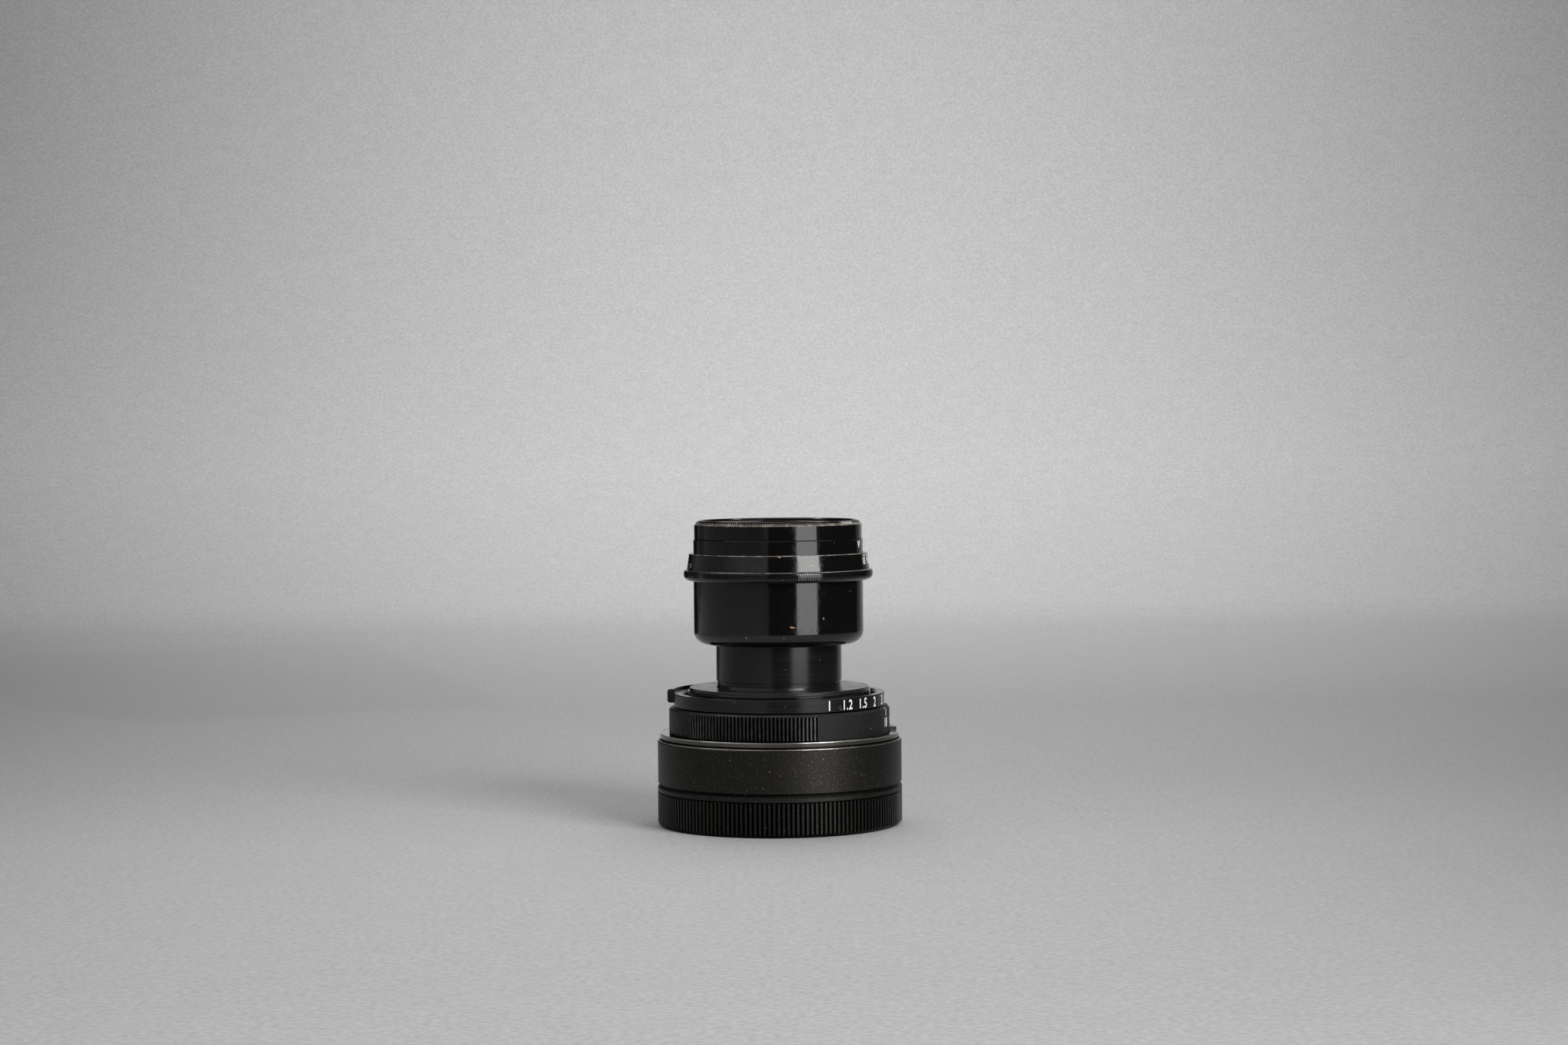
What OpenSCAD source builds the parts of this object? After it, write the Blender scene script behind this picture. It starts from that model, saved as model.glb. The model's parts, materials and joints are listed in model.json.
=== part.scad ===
// Prime camera lens: a vintage fast lens head on a focusing mount, standing on a mount
// adapter and a ribbed rear cap. Millimetres, +Z up. The origin is on the optical axis,
// in the face that the cap rests on, and the side with the distance scale faces -Y.

/* [Bayonet] */
// Radius of the throat through the lens mount
throat_r = 17.4; // [16:0.1:19]
// Wall of the bayonet barrels
bayonet_wall = 3.2; // [2.6:0.1:3.8]
// How far a bayonet lug stands out of its barrel
lug_height = 1.3; // [0.8:0.1:1.6]
// Thickness of a bayonet lug
lug_t = 1.5; // [1:0.1:1.8]
// Distance from the seat down to the lugs
lug_drop = 2.4; // [1.8:0.1:2.6]
// Length of the lens's bayonet barrel below its seat
bayonet_len = 5.6; // [4.6:0.1:6.4]
// Number of bayonet lugs
lug_count = 4; // [3:1:4]
// Angle that each bayonet lug spans
lug_arc = 38; // [24:1:40]
// Free play round the bayonet lugs
lug_play = 0.2; // [0.1:0.05:0.3]

/* [Rear cap] */
// How far the cap's ribs stand out beyond the adapter
cap_proud = 0.05; // [0:0.01:1]
// Height of the cap
cap_h = 8.8; // [7.6:0.1:14]
// Thickness of the cap's floor
cap_floor = 1.6; // [1:0.1:2.4]
// Height of the plain rim above the cap's ribs
cap_rim = 1.3; // [1:0.1:2]
// Width of the foot ring that the cap stands on
cap_foot_w = 4; // [2:0.1:5]
// Chamfer round the cap's foot
cap_foot = 0.8; // [0.4:0.1:1.2]
// Number of grip ribs that fit round the cap
cap_ribs = 165; // [120:1:200]
// Depth of the cap's ribs
cap_rib_depth = 0.28; // [0.15:0.01:0.4]
// Half the angle of the smooth pad on the cap's side
cap_pad_half = 14; // [8:1:30]

/* [Mount adapter] */
// Wall of the adapter round its bayonet
adapter_wall = 4.15; // [3.4:0.05:6]
// Height of the adapter between its two seats
adapter_h = 10; // [9:0.1:16]
// Depth of the chamfers that meet as a groove between adapter and cap
groove = 0.5; // [0.2:0.05:0.8]
// Width of the adapter's top chamfer
adapter_bevel = 0.56; // [0.2:0.02:1]

/* [Mount flange] */
// How far the polished flange stays inside the adapter's edge
flange_inset = 0.55; // [0:0.05:0.8]
// Thickness of the flange
flange_t = 1; // [0.8:0.1:1.6]
// Length of the flange screws
flange_screw_len = 3.6; // [2.4:0.1:5]
// Width of the mounting index block
index_w = 5; // [3:0.5:7]
// Height of the mounting index block
index_h = 0.65; // [0.4:0.05:1]

/* [Depth scale ring] */
// How far the fixed knurled ring stays inside the flange's edge
scale_inset = 1.95; // [1.4:0.05:2.6]
// Height of the fixed knurled ring
scale_h = 5.6; // [4.4:0.1:8]
// Number of ribs that fit round the fixed ring
scale_ribs = 178; // [120:1:220]
// Depth of the fixed ring's ribs
scale_rib_depth = 0.22; // [0.1:0.01:0.35]
// Half the angle of the smooth panel that carries the depth scale
panel_half = 32.9; // [20:0.1:60]
// Direction of the focusing index, anticlockwise from +X
index_at = 8.3; // [0:0.1:20]

/* [Focusing] */
// How far the focusing ring stays inside the fixed ring
focus_inset = 1.05; // [0.2:0.05:1.3]
// Height of the focusing ring
focus_h = 2.8; // [2.4:0.1:5]
// Gap between the focusing ring and the fixed ring
focus_gap = 0.2; // [0.1:0.05:0.5]
// Wall from the throat out to the moving helicoid barrel's thread
barrel_wall = 2.3; // [2:0.05:2.5]
// Wall of the turning helicoid sleeve
sleeve_wall = 1; // [0.8:0.05:1.1]
// Width of the sleeve's lip under the fixed ring
sleeve_lip = 0.85; // [0.6:0.05:1]
// Height of the sleeve's lip
lip_h = 1.15; // [0.8:0.05:1.5]
// How far the lens head rises from far to near focus
focus_lift = 2.8; // [1:0.1:3.5]
// Height of the finger tab
tab_h = 2.95; // [2:0.05:3.4]
// How far the finger tab stands out of the focusing ring
tab_out = 1.5; // [1.2:0.1:3]
// Thickness of the strip that carries the finger tab
tab_strip = 0.6; // [0.4:0.05:1]
// Width of the straight guide key
key_w = 3; // [2:0.1:4]
// Wall of the rangefinder cam tube
cam_wall = 1.3; // [0.8:0.1:2]
// How far the cam tube reaches below the lens's seat
cam_reach = 6; // [3:0.1:8]

/* [Neck] */
// How far the seat disc stays inside the helicoid barrel's rim
disc_inset = 0.4; // [0.1:0.05:2]
// Thickness of the seat disc
disc_t = 0.6; // [0.4:0.1:1]
// Height from the focusing ring up to the helicoid barrel's rim
barrel_proud = 0.6; // [0.3:0.1:1]
// Thickness of the helicoid barrel's web under the disc
web_t = 2.5; // [1.5:0.1:2.6]
// Height of the threaded foot ring
foot_h = 1.4; // [1:0.1:2.5]
// Height of the neck tube
neck_h = 7.9; // [7.4:0.1:14]
// Diameter of the neck tube
neck_d = 27; // [24:0.05:29.6]
// Length of the thread that holds the barrel in the neck
neck_spigot = 2.5; // [1.5:0.1:3]

/* [Lens head] */
// Diameter of the lens barrel
head_d = 36.55; // [34:0.05:40]
// Wall of the lens barrel
head_wall = 1.38; // [1:0.02:1.5]
// Rounding of the barrel's lower edge
head_round = 2.8; // [1:0.1:3.2]
// Thickness of the barrel's floor
head_floor = 1.5; // [1.2:0.1:2]
// Height of the barrel below the aperture ring
head_low = 13.7; // [13.2:0.1:18]
// Height of the plain barrel above the aperture ring
head_top = 3; // [2.4:0.1:4]
// Length of the thread that holds the front cell
cell_thread = 3; // [2:0.1:3]
// Height of the front rim
rim_h = 4; // [3.8:0.1:6]
// Width of the bevel round the rim
rim_bevel = 0.9; // [0.4:0.1:1.1]
// Number of slanting notches in the bevel
rim_notches = 208; // [120:1:240]
// Width of a notch
notch_w = 0.2; // [0.1:0.02:0.3]
// Wall of the front rim
rim_wall = 1.48; // [1.3:0.02:2]
// How far the front rim stays inside the barrel's edge
rim_inset = 0.2; // [0.06:0.02:0.4]
// Chamfers that meet as a fine line between the barrel and the front rim
rim_line = 0.1; // [0.06:0.02:0.2]

/* [Aperture ring] */
// Height of the aperture ring
ring_h = 5.8; // [5:0.1:7]
// Width of the aperture ring's wall at its top edge
ring_wall = 0.96; // [0.6:0.02:1.2]
// How far the ring's cone widens down to its bead
ring_flare = 0.45; // [0.2:0.05:1]
// How far the knurled bead stands out of the barrel
bead_out = 2.08; // [1.6:0.02:2.6]
// Height of the knurled bead
bead_h = 2.4; // [2:0.1:2.8]
// Number of knurls round the bead
bead_ribs = 246; // [180:1:300]
// Depth of the bead's knurls
bead_rib_depth = 0.14; // [0.05:0.01:0.2]
// Angle that the aperture ring turns through
aperture_turn = 57.5; // [50:0.5:64]
// Radius of the aperture ring's screw head
ring_screw_r = 0.85; // [0.7:0.05:1]

/* [Iris] */
// Distance from the aperture ring's foot down to the iris ledge
iris_drop = 6.3; // [5.8:0.1:6.6]
// Thickness of the iris base plate
base_t = 1.2; // [0.8:0.1:1.4]
// Thickness of the cam ring's disc
cam_t = 0.7; // [0.5:0.05:0.9]
// Radius of the opening with the iris wide open
iris_open_r = 9.4; // [8.4:0.1:9.8]
// Radius of the smallest opening
iris_min_r = 1.05; // [0.8:0.05:2]
// Width of a blade
blade_w = 4.2; // [3.8:0.1:4.3]
// Angle that a blade's arc spans
blade_arc = 125; // [115:1:135]
// Thickness of a blade
blade_t = 0.11; // [0.06:0.01:0.14]
// Distance from one blade's level to the next
blade_pitch = 0.17; // [0.16:0.01:0.19]
// Distance from the barrel's bore to the circle of the blades' pivots
pivot_inset = 1.7; // [1.6:0.05:1.9]
// Angle from a blade's pivot pin to its drive pin
drive_step = 16; // [14:0.5:17]
// Radius of a blade's pivot pin
pivot_pin_r = 0.4; // [0.3:0.02:0.45]
// Radius of a blade's drive pin
drive_pin_r = 0.35; // [0.25:0.02:0.38]

/* [Glass] */
// Distance from the front element's crown to the front rim
front_sink = 2.4; // [1.8:0.1:3]
// Thickness of the front element
front_t = 3.4; // [3:0.1:3.8]
// Thickness of the second element
second_t = 3.4; // [3:0.1:3.6]
// Thickness of the third element
third_t = 0.9; // [0.7:0.1:1.1]
// Thickness of the cemented pair's front glass
pair_front_t = 1; // [0.8:0.1:1.2]
// Thickness of the cemented pair's rear glass
pair_rear_t = 4.4; // [4:0.1:5]
// Thickness of the rear element
rear_t = 3.5; // [3:0.1:4]
// Air space between the first two elements
front_air = 0.5; // [0.3:0.1:0.7]
// Height of the step between the second element's seat and the third element
third_air = 0.66; // [0.4:0.02:0.8]
// Distance from the pair's seat to the rear element's seat
rear_air = 2.93; // [2.4:0.01:3.4]
// Wall of the front cell round the front element
front_cell_wall = 1.5; // [1.3:0.1:2]
// Step in from the front cell's skirt to the second element
second_step = 2.35; // [2:0.05:2.6]
// Step in from the second element to the third
third_step = 2.2; // [1.8:0.1:2.4]
// Wall of the rear cell round the rear element
rear_cell_wall = 1.85; // [1:0.05:2.2]
// Step in from the rear element to the cemented pair
pair_step = 0.4; // [0.2:0.05:0.6]
// Width of the flat seat round each element
glass_seat = 0.6; // [0.4:0.05:0.8]

/* [Hidden] */
$fn = 96;

blades = 10;         // iris blades, each in a node of its own

// Clearances and small sizes that several pieces share
run = 0.05;          // radial clearance of a running fit
lap = 0.2;           // depth by which fused shapes lie in each other
fine = 0.1;          // small edge chamfer
screw_r = 0.6;       // shank of the small screws
screw_head_r = 1.1;  // head of the small screws
screw_play = 0.03;   // free play round a screw

// Directions, anticlockwise from +X
cap_pad_at = -5;     // middle of the smooth pad on the cap
set_screw_at = -55.4;
lock_screw_at = -19;
notch_lean = 30;     // slant of the notches in the rim's bevel
tab_at = 177;        // face of the finger plate
tab_span = 40;       // angle of the strip that carries it
tab_screws = [tab_at - 16, tab_at - 30];
ring_screw_at = 197; // aperture ring's screw with the iris closed

// Heights, stacked upwards from the table
z_cap = cap_h;
z_seat = z_cap + adapter_h;
z_flange = z_seat + flange_t;
z_scale = z_flange + scale_h;
z_focus = z_scale + focus_gap;
z_focus_top = z_focus + focus_h;
z_disc = z_focus_top + barrel_proud;
z_foot = z_disc + disc_t;
z_neck = z_foot + foot_h;
z_head = z_neck + neck_h;
z_ring = z_head + head_low;
z_ring_top = z_ring + ring_h;
z_front = z_ring_top + head_top;
z_rim = z_front + rim_h;

// Radii of the base and of the focusing unit, worked outwards from the throat
bayonet_r = throat_r + bayonet_wall;
cavity_r = bayonet_r + lug_height + lug_play;
adapter_bore = throat_r + 0.4;
adapter_r = cavity_r + adapter_wall;
cap_r = adapter_r + cap_proud;
flange_r = adapter_r - flange_inset;
scale_r = flange_r - scale_inset;
focus_r = scale_r - focus_inset;
female_arc = 360 / lug_count - lug_arc - 8;
barrel_r = throat_r + barrel_wall;
sleeve_in = barrel_r + run;
sleeve_out = sleeve_in + sleeve_wall;
lip_r = sleeve_out + sleeve_lip;
flange_screw_r = (lip_r + 0.1 + scale_r - scale_rib_depth) / 2;
set_screw_z = z_focus + 0.9;
tab_z = z_focus + 0.45;
tab_screw_z = z_focus + 1.4;
cam_out = throat_r - 0.5;
cam_in = cam_out - cam_wall;
key_in = throat_r + fine;
key_out = barrel_r - 0.3;
key_h = scale_h + 0.1;
set_screw_r = 0.5;
tab_screw_r = 0.4;
lock_screw_r = 0.25;
sleeve_top = z_focus + 1.7;

// Radii and heights of the neck and the lens head
head_r = head_d / 2;
head_bore = head_r - head_wall;
neck_r = neck_d / 2;
neck_thread = neck_r - 0.5;
cell_r = neck_thread - 0.95;
neck_bore = cell_r + 0.55;
ledge_r = head_bore - 1;
z_floor = z_head + head_floor;
z_ledge = z_ring - iris_drop;
rim_r = head_r - rim_inset;
rim_bore = rim_r - rim_wall;
pivot_r = head_bore - pivot_inset;

// Iris: heights above its ledge, and the sums that drive the blades
iris_phase = 9;
z_base_top = z_ledge + base_t;
z_blades = z_base_top + 0.15;
z_cam = z_blades + blades * blade_pitch + fine;
z_cam_top = z_cam + cam_t;
z_sleeve_top = z_ring_top - 1.2;
z_screw = z_ring + 2.9;
cam_sleeve_out = head_bore - run;
cam_sleeve_in = cam_sleeve_out - 0.95;
blade_mid = iris_open_r + blade_w / 2;
blade_turn = 2 * asin((iris_open_r - iris_min_r) / (2 * pivot_r));
slot_half = drive_pin_r + 0.06;
ring_screw_seat = head_r + 0.25;  // where the ring's screw head bears

// Front and rear vertices of the glass, worked out from the rim and from the iris ledge
cell_skirt = cam_sleeve_in - 0.55;
front_glass_r = head_bore - front_cell_wall;
second_glass_r = cell_skirt - second_step;
third_glass_r = second_glass_r - third_step;
rear_glass_r = cell_r - rear_cell_wall;
pair_glass_r = rear_glass_r - pair_step;
front_clear = front_glass_r - glass_seat;
second_clear = second_glass_r - glass_seat;
third_clear = third_glass_r - glass_seat;
pair_clear = pair_glass_r - glass_seat;
front_rad = [45, -95];
second_rad = [24, -45];
third_rad = [-90, -36];
pair_front_rad = [-22, -40];
pair_rear_rad = [40, 28];
rear_rad = [60, 45];
v_front = z_rim - front_sink;
v_front_back = v_front - front_t;
v_second = v_front_back - front_air;
v_second_back = v_second - second_t;
z_second_edge = edge_z(v_second_back, second_rad[1], second_clear, -1);
v_third = z_second_edge - third_air;
v_third_back = v_third - third_t;
z_third_edge = edge_z(v_third_back, third_rad[1], third_clear, -1);
z_pair_edge = z_ledge - 1.1;
v_pair = z_pair_edge - sag(pair_front_rad[0], pair_clear);
v_pair_joint = v_pair - pair_front_t;
v_pair_back = v_pair_joint - pair_rear_t;
z_pair_seat = edge_z(v_pair_back, pair_rear_rad[1], pair_clear, -1);
z_rear_seat = z_pair_seat - rear_air;
v_rear = z_rear_seat + sag(rear_rad[0], pair_clear);
v_rear_back = v_rear - rear_t;
z_rear_edge = edge_z(v_rear_back, rear_rad[1], pair_clear, -1);

// How far a surface of radius rad falls away at radius r
function sag(rad, r) = abs(rad) - sqrt(rad * rad - r * r);
// Height of a surface's edge: side is 1 for the front and -1 for the rear
function edge_z(z, rad, r, side) = z - side * sign(rad) * sag(rad, r);
function turn(p, a) = [p.x * cos(a) - p.y * sin(a), p.x * sin(a) + p.y * cos(a)];
function polar(r, a) = [r * cos(a), r * sin(a)];
function wrap(a) = (a % 360 + 540) % 360 - 180;

// The drive pin's place when a blade has turned by b from open, and the same place seen
// from the cam ring, which turns in a constant ratio with the blades
pivot = [pivot_r, 0];
drive_open = polar(pivot_r, drive_step);
function drive_at(b) = pivot + turn(drive_open - pivot, b);
function cam_path(b) = turn(drive_at(b), (blade_turn - b) * aperture_turn / blade_turn);
function cam_normal(b) = let (d = cam_path(b + 0.1) - cam_path(b - 0.1)) [-d.y, d.x] / norm(d);

// ---- Shared shapes ----

module ring(r_in, r_out, z0, z1) {
  rotate_extrude() translate([r_in, z0]) square([r_out - r_in, z1 - z0]);
}

module arc_block(r_in, r_out, z0, z1, from, span) {
  rotate([0, 0, from]) rotate_extrude(angle = span)
    translate([r_in, z0]) square([r_out - r_in, z1 - z0]);
}

// Outline with n valleys cut in a round of radius r_tip, except within gap_half of gap_at.
// Its lands lie just outside r_tip, so a turned shape crossed with it keeps true curves.
module ribbed_outline(r_tip, depth, n, gap_at = 0, gap_half = 0) {
  pitch = 360 / n;
  r_out = r_tip + 0.06;
  r_root = r_tip - depth;
  polygon([for (i = [0 : n - 1]) each
    abs(wrap(i * pitch - gap_at)) < gap_half
      ? [polar(r_out, i * pitch)]
      : [polar(r_out, (i - 0.32) * pitch), polar(r_root, (i - 0.18) * pitch),
         polar(r_root, (i + 0.18) * pitch), polar(r_out, (i + 0.32) * pitch)]]);
}

// A glass element with a flat seat from r_clear out to r_edge. A positive radius bulges
// out of the glass and a negative one is hollow.
module glass(r_clear, r_edge, z_top, rad_top, z_low, rad_low) {
  top_edge = edge_z(z_top, rad_top, r_clear, 1);
  low_edge = edge_z(z_low, rad_low, r_clear, -1);
  rotate_extrude() difference() {
    union() {
      translate([0, low_edge]) square([r_edge, top_edge - low_edge]);
      if (rad_top > 0) intersection() {
        translate([0, top_edge - lap]) square([r_clear, z_top - top_edge + lap]);
        translate([0, z_top - rad_top]) circle(rad_top, $fn = 256);
      }
      if (rad_low > 0) intersection() {
        translate([0, z_low]) square([r_clear, low_edge - z_low + lap]);
        translate([0, z_low + rad_low]) circle(rad_low, $fn = 256);
      }
    }
    if (rad_top < 0) translate([0, z_top - rad_top]) circle(-rad_top, $fn = 256);
    if (rad_low < 0) translate([0, z_low + rad_low]) circle(-rad_low, $fn = 256);
  }
}

// Bayonet barrel below a seat, with lugs that stand out of it
module bayonet_barrel(z, r_in, len) {
  ring(r_in, bayonet_r, z - len, z + lap);
  for (i = [0 : lug_count - 1])
    arc_block(bayonet_r - lap, bayonet_r + lug_height, z - lug_drop - lug_t, z - lug_drop,
      index_at + i * 360 / lug_count - lug_arc / 2, lug_arc);
}

// Lugs that reach inwards over a bayonet barrel's own lugs, when locked
module bayonet_catches(z) {
  for (i = [0 : lug_count - 1])
    arc_block(bayonet_r + lug_play, cavity_r + lap, z - lug_drop + lug_play, z - fine,
      index_at + i * 360 / lug_count - female_arc / 2, female_arc);
}

// Screw along -Z whose countersunk head is flush with z
module countersunk(z, len, head_r, shank_r) {
  rotate_extrude() polygon([[0, z], [head_r, z], [shank_r, z - head_r + shank_r],
    [shank_r, z - len], [0, z - len]]);
}

// Screw with a round slotted head that stands on z, along -Z
module slotted_screw(z, len, head_r, head_h, shank_r) {
  difference() {
    union() {
      translate([0, 0, z]) cylinder(r = head_r, h = head_h);
      translate([0, 0, z - len]) cylinder(r = shank_r, h = len + lap / 2);
    }
    translate([-head_r, -head_r * 0.15, z + head_h / 2]) cube([2 * head_r, head_r * 0.3, head_h]);
  }
}

// Points down a radius, at direction a and height z
module radial(a, z) {
  rotate([0, 0, a]) translate([0, 0, z]) rotate([0, 90, 0]) children();
}

// Retaining ring with two spanner slots
module slotted_ring(r_in, r_out, z0, z1, slot_w) {
  difference() {
    ring(r_in, r_out, z0, z1);
    for (a = [0, 180]) rotate([0, 0, a])
      translate([r_in - lap, -slot_w / 2, (z0 + z1) / 2])
        cube([r_out - r_in + 2 * lap, slot_w, z1 - z0]);
  }
}

// ---- Rear cap and mount adapter ----

module rear_cap() {
  rib_top = z_cap - cap_rim;
  rib_chamfer = cap_rib_depth + 0.05;
  foot_step = 0.2;
  foot_in = cap_r - cap_foot_w;
  color("#1c1c1c") union() {
    difference() {
      intersection() {
        rotate_extrude() polygon([[0, foot_step], [foot_in, foot_step], [foot_in - foot_step, 0],
          [cap_r - cap_foot, 0], [cap_r, cap_foot], [cap_r, rib_top - rib_chamfer],
          [cap_r - rib_chamfer, rib_top], [cap_r, rib_top], [cap_r, z_cap - groove],
          [cap_r - groove, z_cap], [0, z_cap]]);
        union() {
          linear_extrude(rib_top)
            ribbed_outline(cap_r, cap_rib_depth, cap_ribs, cap_pad_at, cap_pad_half);
          translate([0, 0, rib_top]) cylinder(r = cap_r + 1, h = cap_h);
        }
      }
      translate([0, 0, cap_floor]) cylinder(r = cavity_r, h = cap_h);
    }
    bayonet_catches(z_cap);
  }
}

module mount_adapter() {
  inner_floor = z_seat - bayonet_len - 0.6;
  top = z_seat - 0.2;
  seat_r = flange_r - 0.7;
  color("#1e1e1e") union() {
    rotate_extrude() polygon([[adapter_bore, z_cap], [adapter_r - groove, z_cap],
      [adapter_r, z_cap + groove], [adapter_r, top - adapter_bevel],
      [adapter_r - adapter_bevel, top], [seat_r, top], [seat_r, z_seat], [cavity_r, z_seat],
      [cavity_r, inner_floor], [adapter_bore, inner_floor]]);
    bayonet_catches(z_seat);
    bayonet_barrel(z_cap, adapter_bore, bayonet_len - 0.6);
  }
}

// ---- Mount flange and fixed ring ----

module mount_flange() {
  color("#3a3a3c") difference() {
    union() {
      rotate_extrude() polygon([[throat_r, z_seat], [flange_r - fine, z_seat],
        [flange_r, z_seat + fine], [flange_r, z_flange - fine], [flange_r - fine, z_flange],
        [throat_r, z_flange]]);
      bayonet_barrel(z_seat, throat_r, bayonet_len);
    }
    for (a = [45 : 90 : 315]) rotate([0, 0, a + index_at]) translate([flange_screw_r, 0, z_seat])
      mirror([0, 0, 1])
        countersunk(0, flange_screw_len, screw_head_r + screw_play, screw_r + screw_play);
    rotate([0, 0, index_at + 180]) translate([(key_in + key_out) / 2, 0, z_seat - 1])
      cylinder(r = screw_r + screw_play, h = flange_t + 2);
  }
}

module flange_screws() {
  color("#8a8a8a") for (a = [45 : 90 : 315]) rotate([0, 0, a + index_at])
    translate([flange_screw_r, 0, z_seat]) mirror([0, 0, 1])
      countersunk(0, flange_screw_len, screw_head_r, screw_r);
}

module index_block() {
  index_in = scale_r + fine;
  color("#151515") rotate([0, 0, index_at + 1.7]) translate([index_in, -index_w / 2, z_flange])
    cube([flange_r - 0.5 - index_in, index_w, index_h]);
}

module depth_scale_ring() {
  lip_room = z_flange + lip_h + 0.15;
  top_bevel = 0.45;
  color("#161616") difference() {
    intersection() {
      rotate_extrude() polygon([[sleeve_out + 0.1, lip_room], [lip_r + 0.1, lip_room],
        [lip_r + 0.1, z_flange], [scale_r - 0.2, z_flange], [scale_r, z_flange + 0.2],
        [scale_r, z_scale - top_bevel], [scale_r - top_bevel, z_scale],
        [sleeve_out + 0.1, z_scale]]);
      translate([0, 0, z_flange]) linear_extrude(scale_h)
        ribbed_outline(scale_r, scale_rib_depth, scale_ribs, index_at, panel_half);
    }
    for (a = [45 : 90 : 315]) rotate([0, 0, a + index_at])
      translate([flange_screw_r, 0, z_seat])
        cylinder(r = screw_r + screw_play, h = flange_screw_len + fine);
  }
}

module guide_key() {
  color("#c9a24c") difference() {
    rotate([0, 0, index_at + 180]) translate([key_in, -key_w / 2, z_flange])
      cube([key_out - key_in, key_w, key_h]);
    rotate([0, 0, index_at + 180]) translate([(key_in + key_out) / 2, 0, z_flange - 1]) {
      cylinder(r = screw_r + screw_play, h = key_h + 2);
      translate([0, 0, key_h]) cylinder(r = 0.85, h = 2);
    }
  }
}

module guide_key_screw() {
  color("#8a8a8a") rotate([0, 0, index_at + 180]) translate([(key_in + key_out) / 2, 0, 0])
    slotted_screw(z_flange + key_h - 1, key_h + flange_t - fine, 0.8, 0.7, screw_r);
}

// ---- Focusing unit ----

module set_screw_holes() {
  for (a = [0 : 120 : 240]) radial(a + set_screw_at, set_screw_z) cylinder(r = set_screw_r, h = 30);
}

module tab_screw_holes() {
  for (a = tab_screws) radial(a, tab_screw_z) cylinder(r = tab_screw_r, h = 30);
}

module focus_ring() {
  edge = 0.15;
  inner_bevel = 0.45;
  color("#141414") difference() {
    rotate_extrude() polygon([[sleeve_out, z_focus], [focus_r - fine, z_focus],
      [focus_r, z_focus + fine], [focus_r, z_focus_top - edge], [focus_r - edge, z_focus_top],
      [sleeve_out + inner_bevel, z_focus_top], [sleeve_out, z_focus_top - inner_bevel]]);
    set_screw_holes();
    tab_screw_holes();
  }
}

module helicoid_sleeve() {
  color("#b8944a") difference() {
    rotate_extrude() polygon([[sleeve_in, z_flange + run], [lip_r, z_flange + run],
      [lip_r, z_flange + lip_h], [sleeve_out, z_flange + lip_h], [sleeve_out, sleeve_top],
      [sleeve_in, sleeve_top]]);
    set_screw_holes();
    rotate([0, 0, lock_screw_at]) translate([sleeve_in + sleeve_wall / 2, 0, z_focus])
      cylinder(r = lock_screw_r, h = 4);
  }
}

// A strip that follows the focusing ring, with a rounded finger plate at one end
module focus_tab() {
  corner = 0.6;
  color("#101010") difference() {
    union() {
      arc_block(focus_r, focus_r + tab_strip, tab_z, tab_z + tab_h, tab_at - tab_span, tab_span);
      rotate([0, 0, tab_at]) translate([focus_r, 0, tab_z]) rotate([90, 0, 0])
        linear_extrude(1) union() {
          square([tab_out - corner, tab_h]);
          translate([0, corner]) square([tab_out, tab_h - 2 * corner]);
          for (y = [corner, tab_h - corner]) translate([tab_out - corner, y]) circle(corner);
        }
    }
    tab_screw_holes();
  }
}

module focus_tab_screws() {
  color("#8a8a8a") for (a = tab_screws) radial(a, tab_screw_z)
    slotted_screw(focus_r + tab_strip, focus_r + tab_strip - sleeve_out, 0.75, 0.35, tab_screw_r);
}

module focus_set_screws() {
  sunk = 0.3;
  color("#4a4a4a") for (a = [0 : 120 : 240]) radial(a + set_screw_at, set_screw_z)
    difference() {
      translate([0, 0, sleeve_in + 0.2])
        cylinder(r = set_screw_r, h = focus_r - sleeve_in - 0.2 - sunk);
      translate([-0.08, -1, focus_r - sunk - 0.2]) cube([0.16, 2, 1]);
    }
}

module sleeve_lock_screw() {
  color("#b0b0b0") rotate([0, 0, lock_screw_at]) translate([sleeve_in + sleeve_wall / 2, 0, 0])
    slotted_screw(sleeve_top, 1.2, lock_screw_r + 0.17, z_disc - 0.05 - sleeve_top, lock_screw_r);
}

module inner_barrel() {
  low = z_flange + 0.4;
  web = z_disc - web_t;
  color("#9a9a98") difference() {
    rotate_extrude() polygon([[cam_out, low], [barrel_r, low], [barrel_r, z_disc - 0.2],
      [barrel_r - 0.2, z_disc], [neck_thread, z_disc], [neck_thread, web], [cam_out, web]]);
    rotate([0, 0, index_at + 180]) translate([key_in - 1, -key_w / 2 - run, low - 1])
      cube([barrel_r - key_in + 2, key_w + 2 * run, z_flange + key_h + 0.2 - low + 1]);
  }
}

// Its upper end screws into the moving barrel
module rangefinder_cam() {
  low = z_seat - cam_reach;
  top = z_flange + 3;
  color("#a58a52") rotate_extrude() polygon([[cam_in, low], [cam_out - 0.3, low],
    [cam_out, low + 0.3], [cam_out, top], [cam_in, top]]);
}

module seat_disc() {
  disc_r = barrel_r - disc_inset;
  color("#2a2a2a") rotate_extrude() polygon([[neck_thread, z_disc], [disc_r, z_disc],
    [disc_r, z_foot - fine], [disc_r - fine, z_foot], [neck_thread, z_foot]]);
}

// ---- Neck ----

module neck_foot() {
  color("#121212") rotate_extrude() polygon([[cell_r, z_disc - 3], [neck_thread, z_disc - 3],
    [neck_thread, z_foot], [neck_r + 0.05, z_foot], [neck_r - 0.2, z_foot + 0.5],
    [neck_r - 0.2, z_neck], [neck_bore, z_neck], [neck_bore, z_neck + 1.5],
    [cell_r, z_neck + 1.5]]);
}

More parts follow.
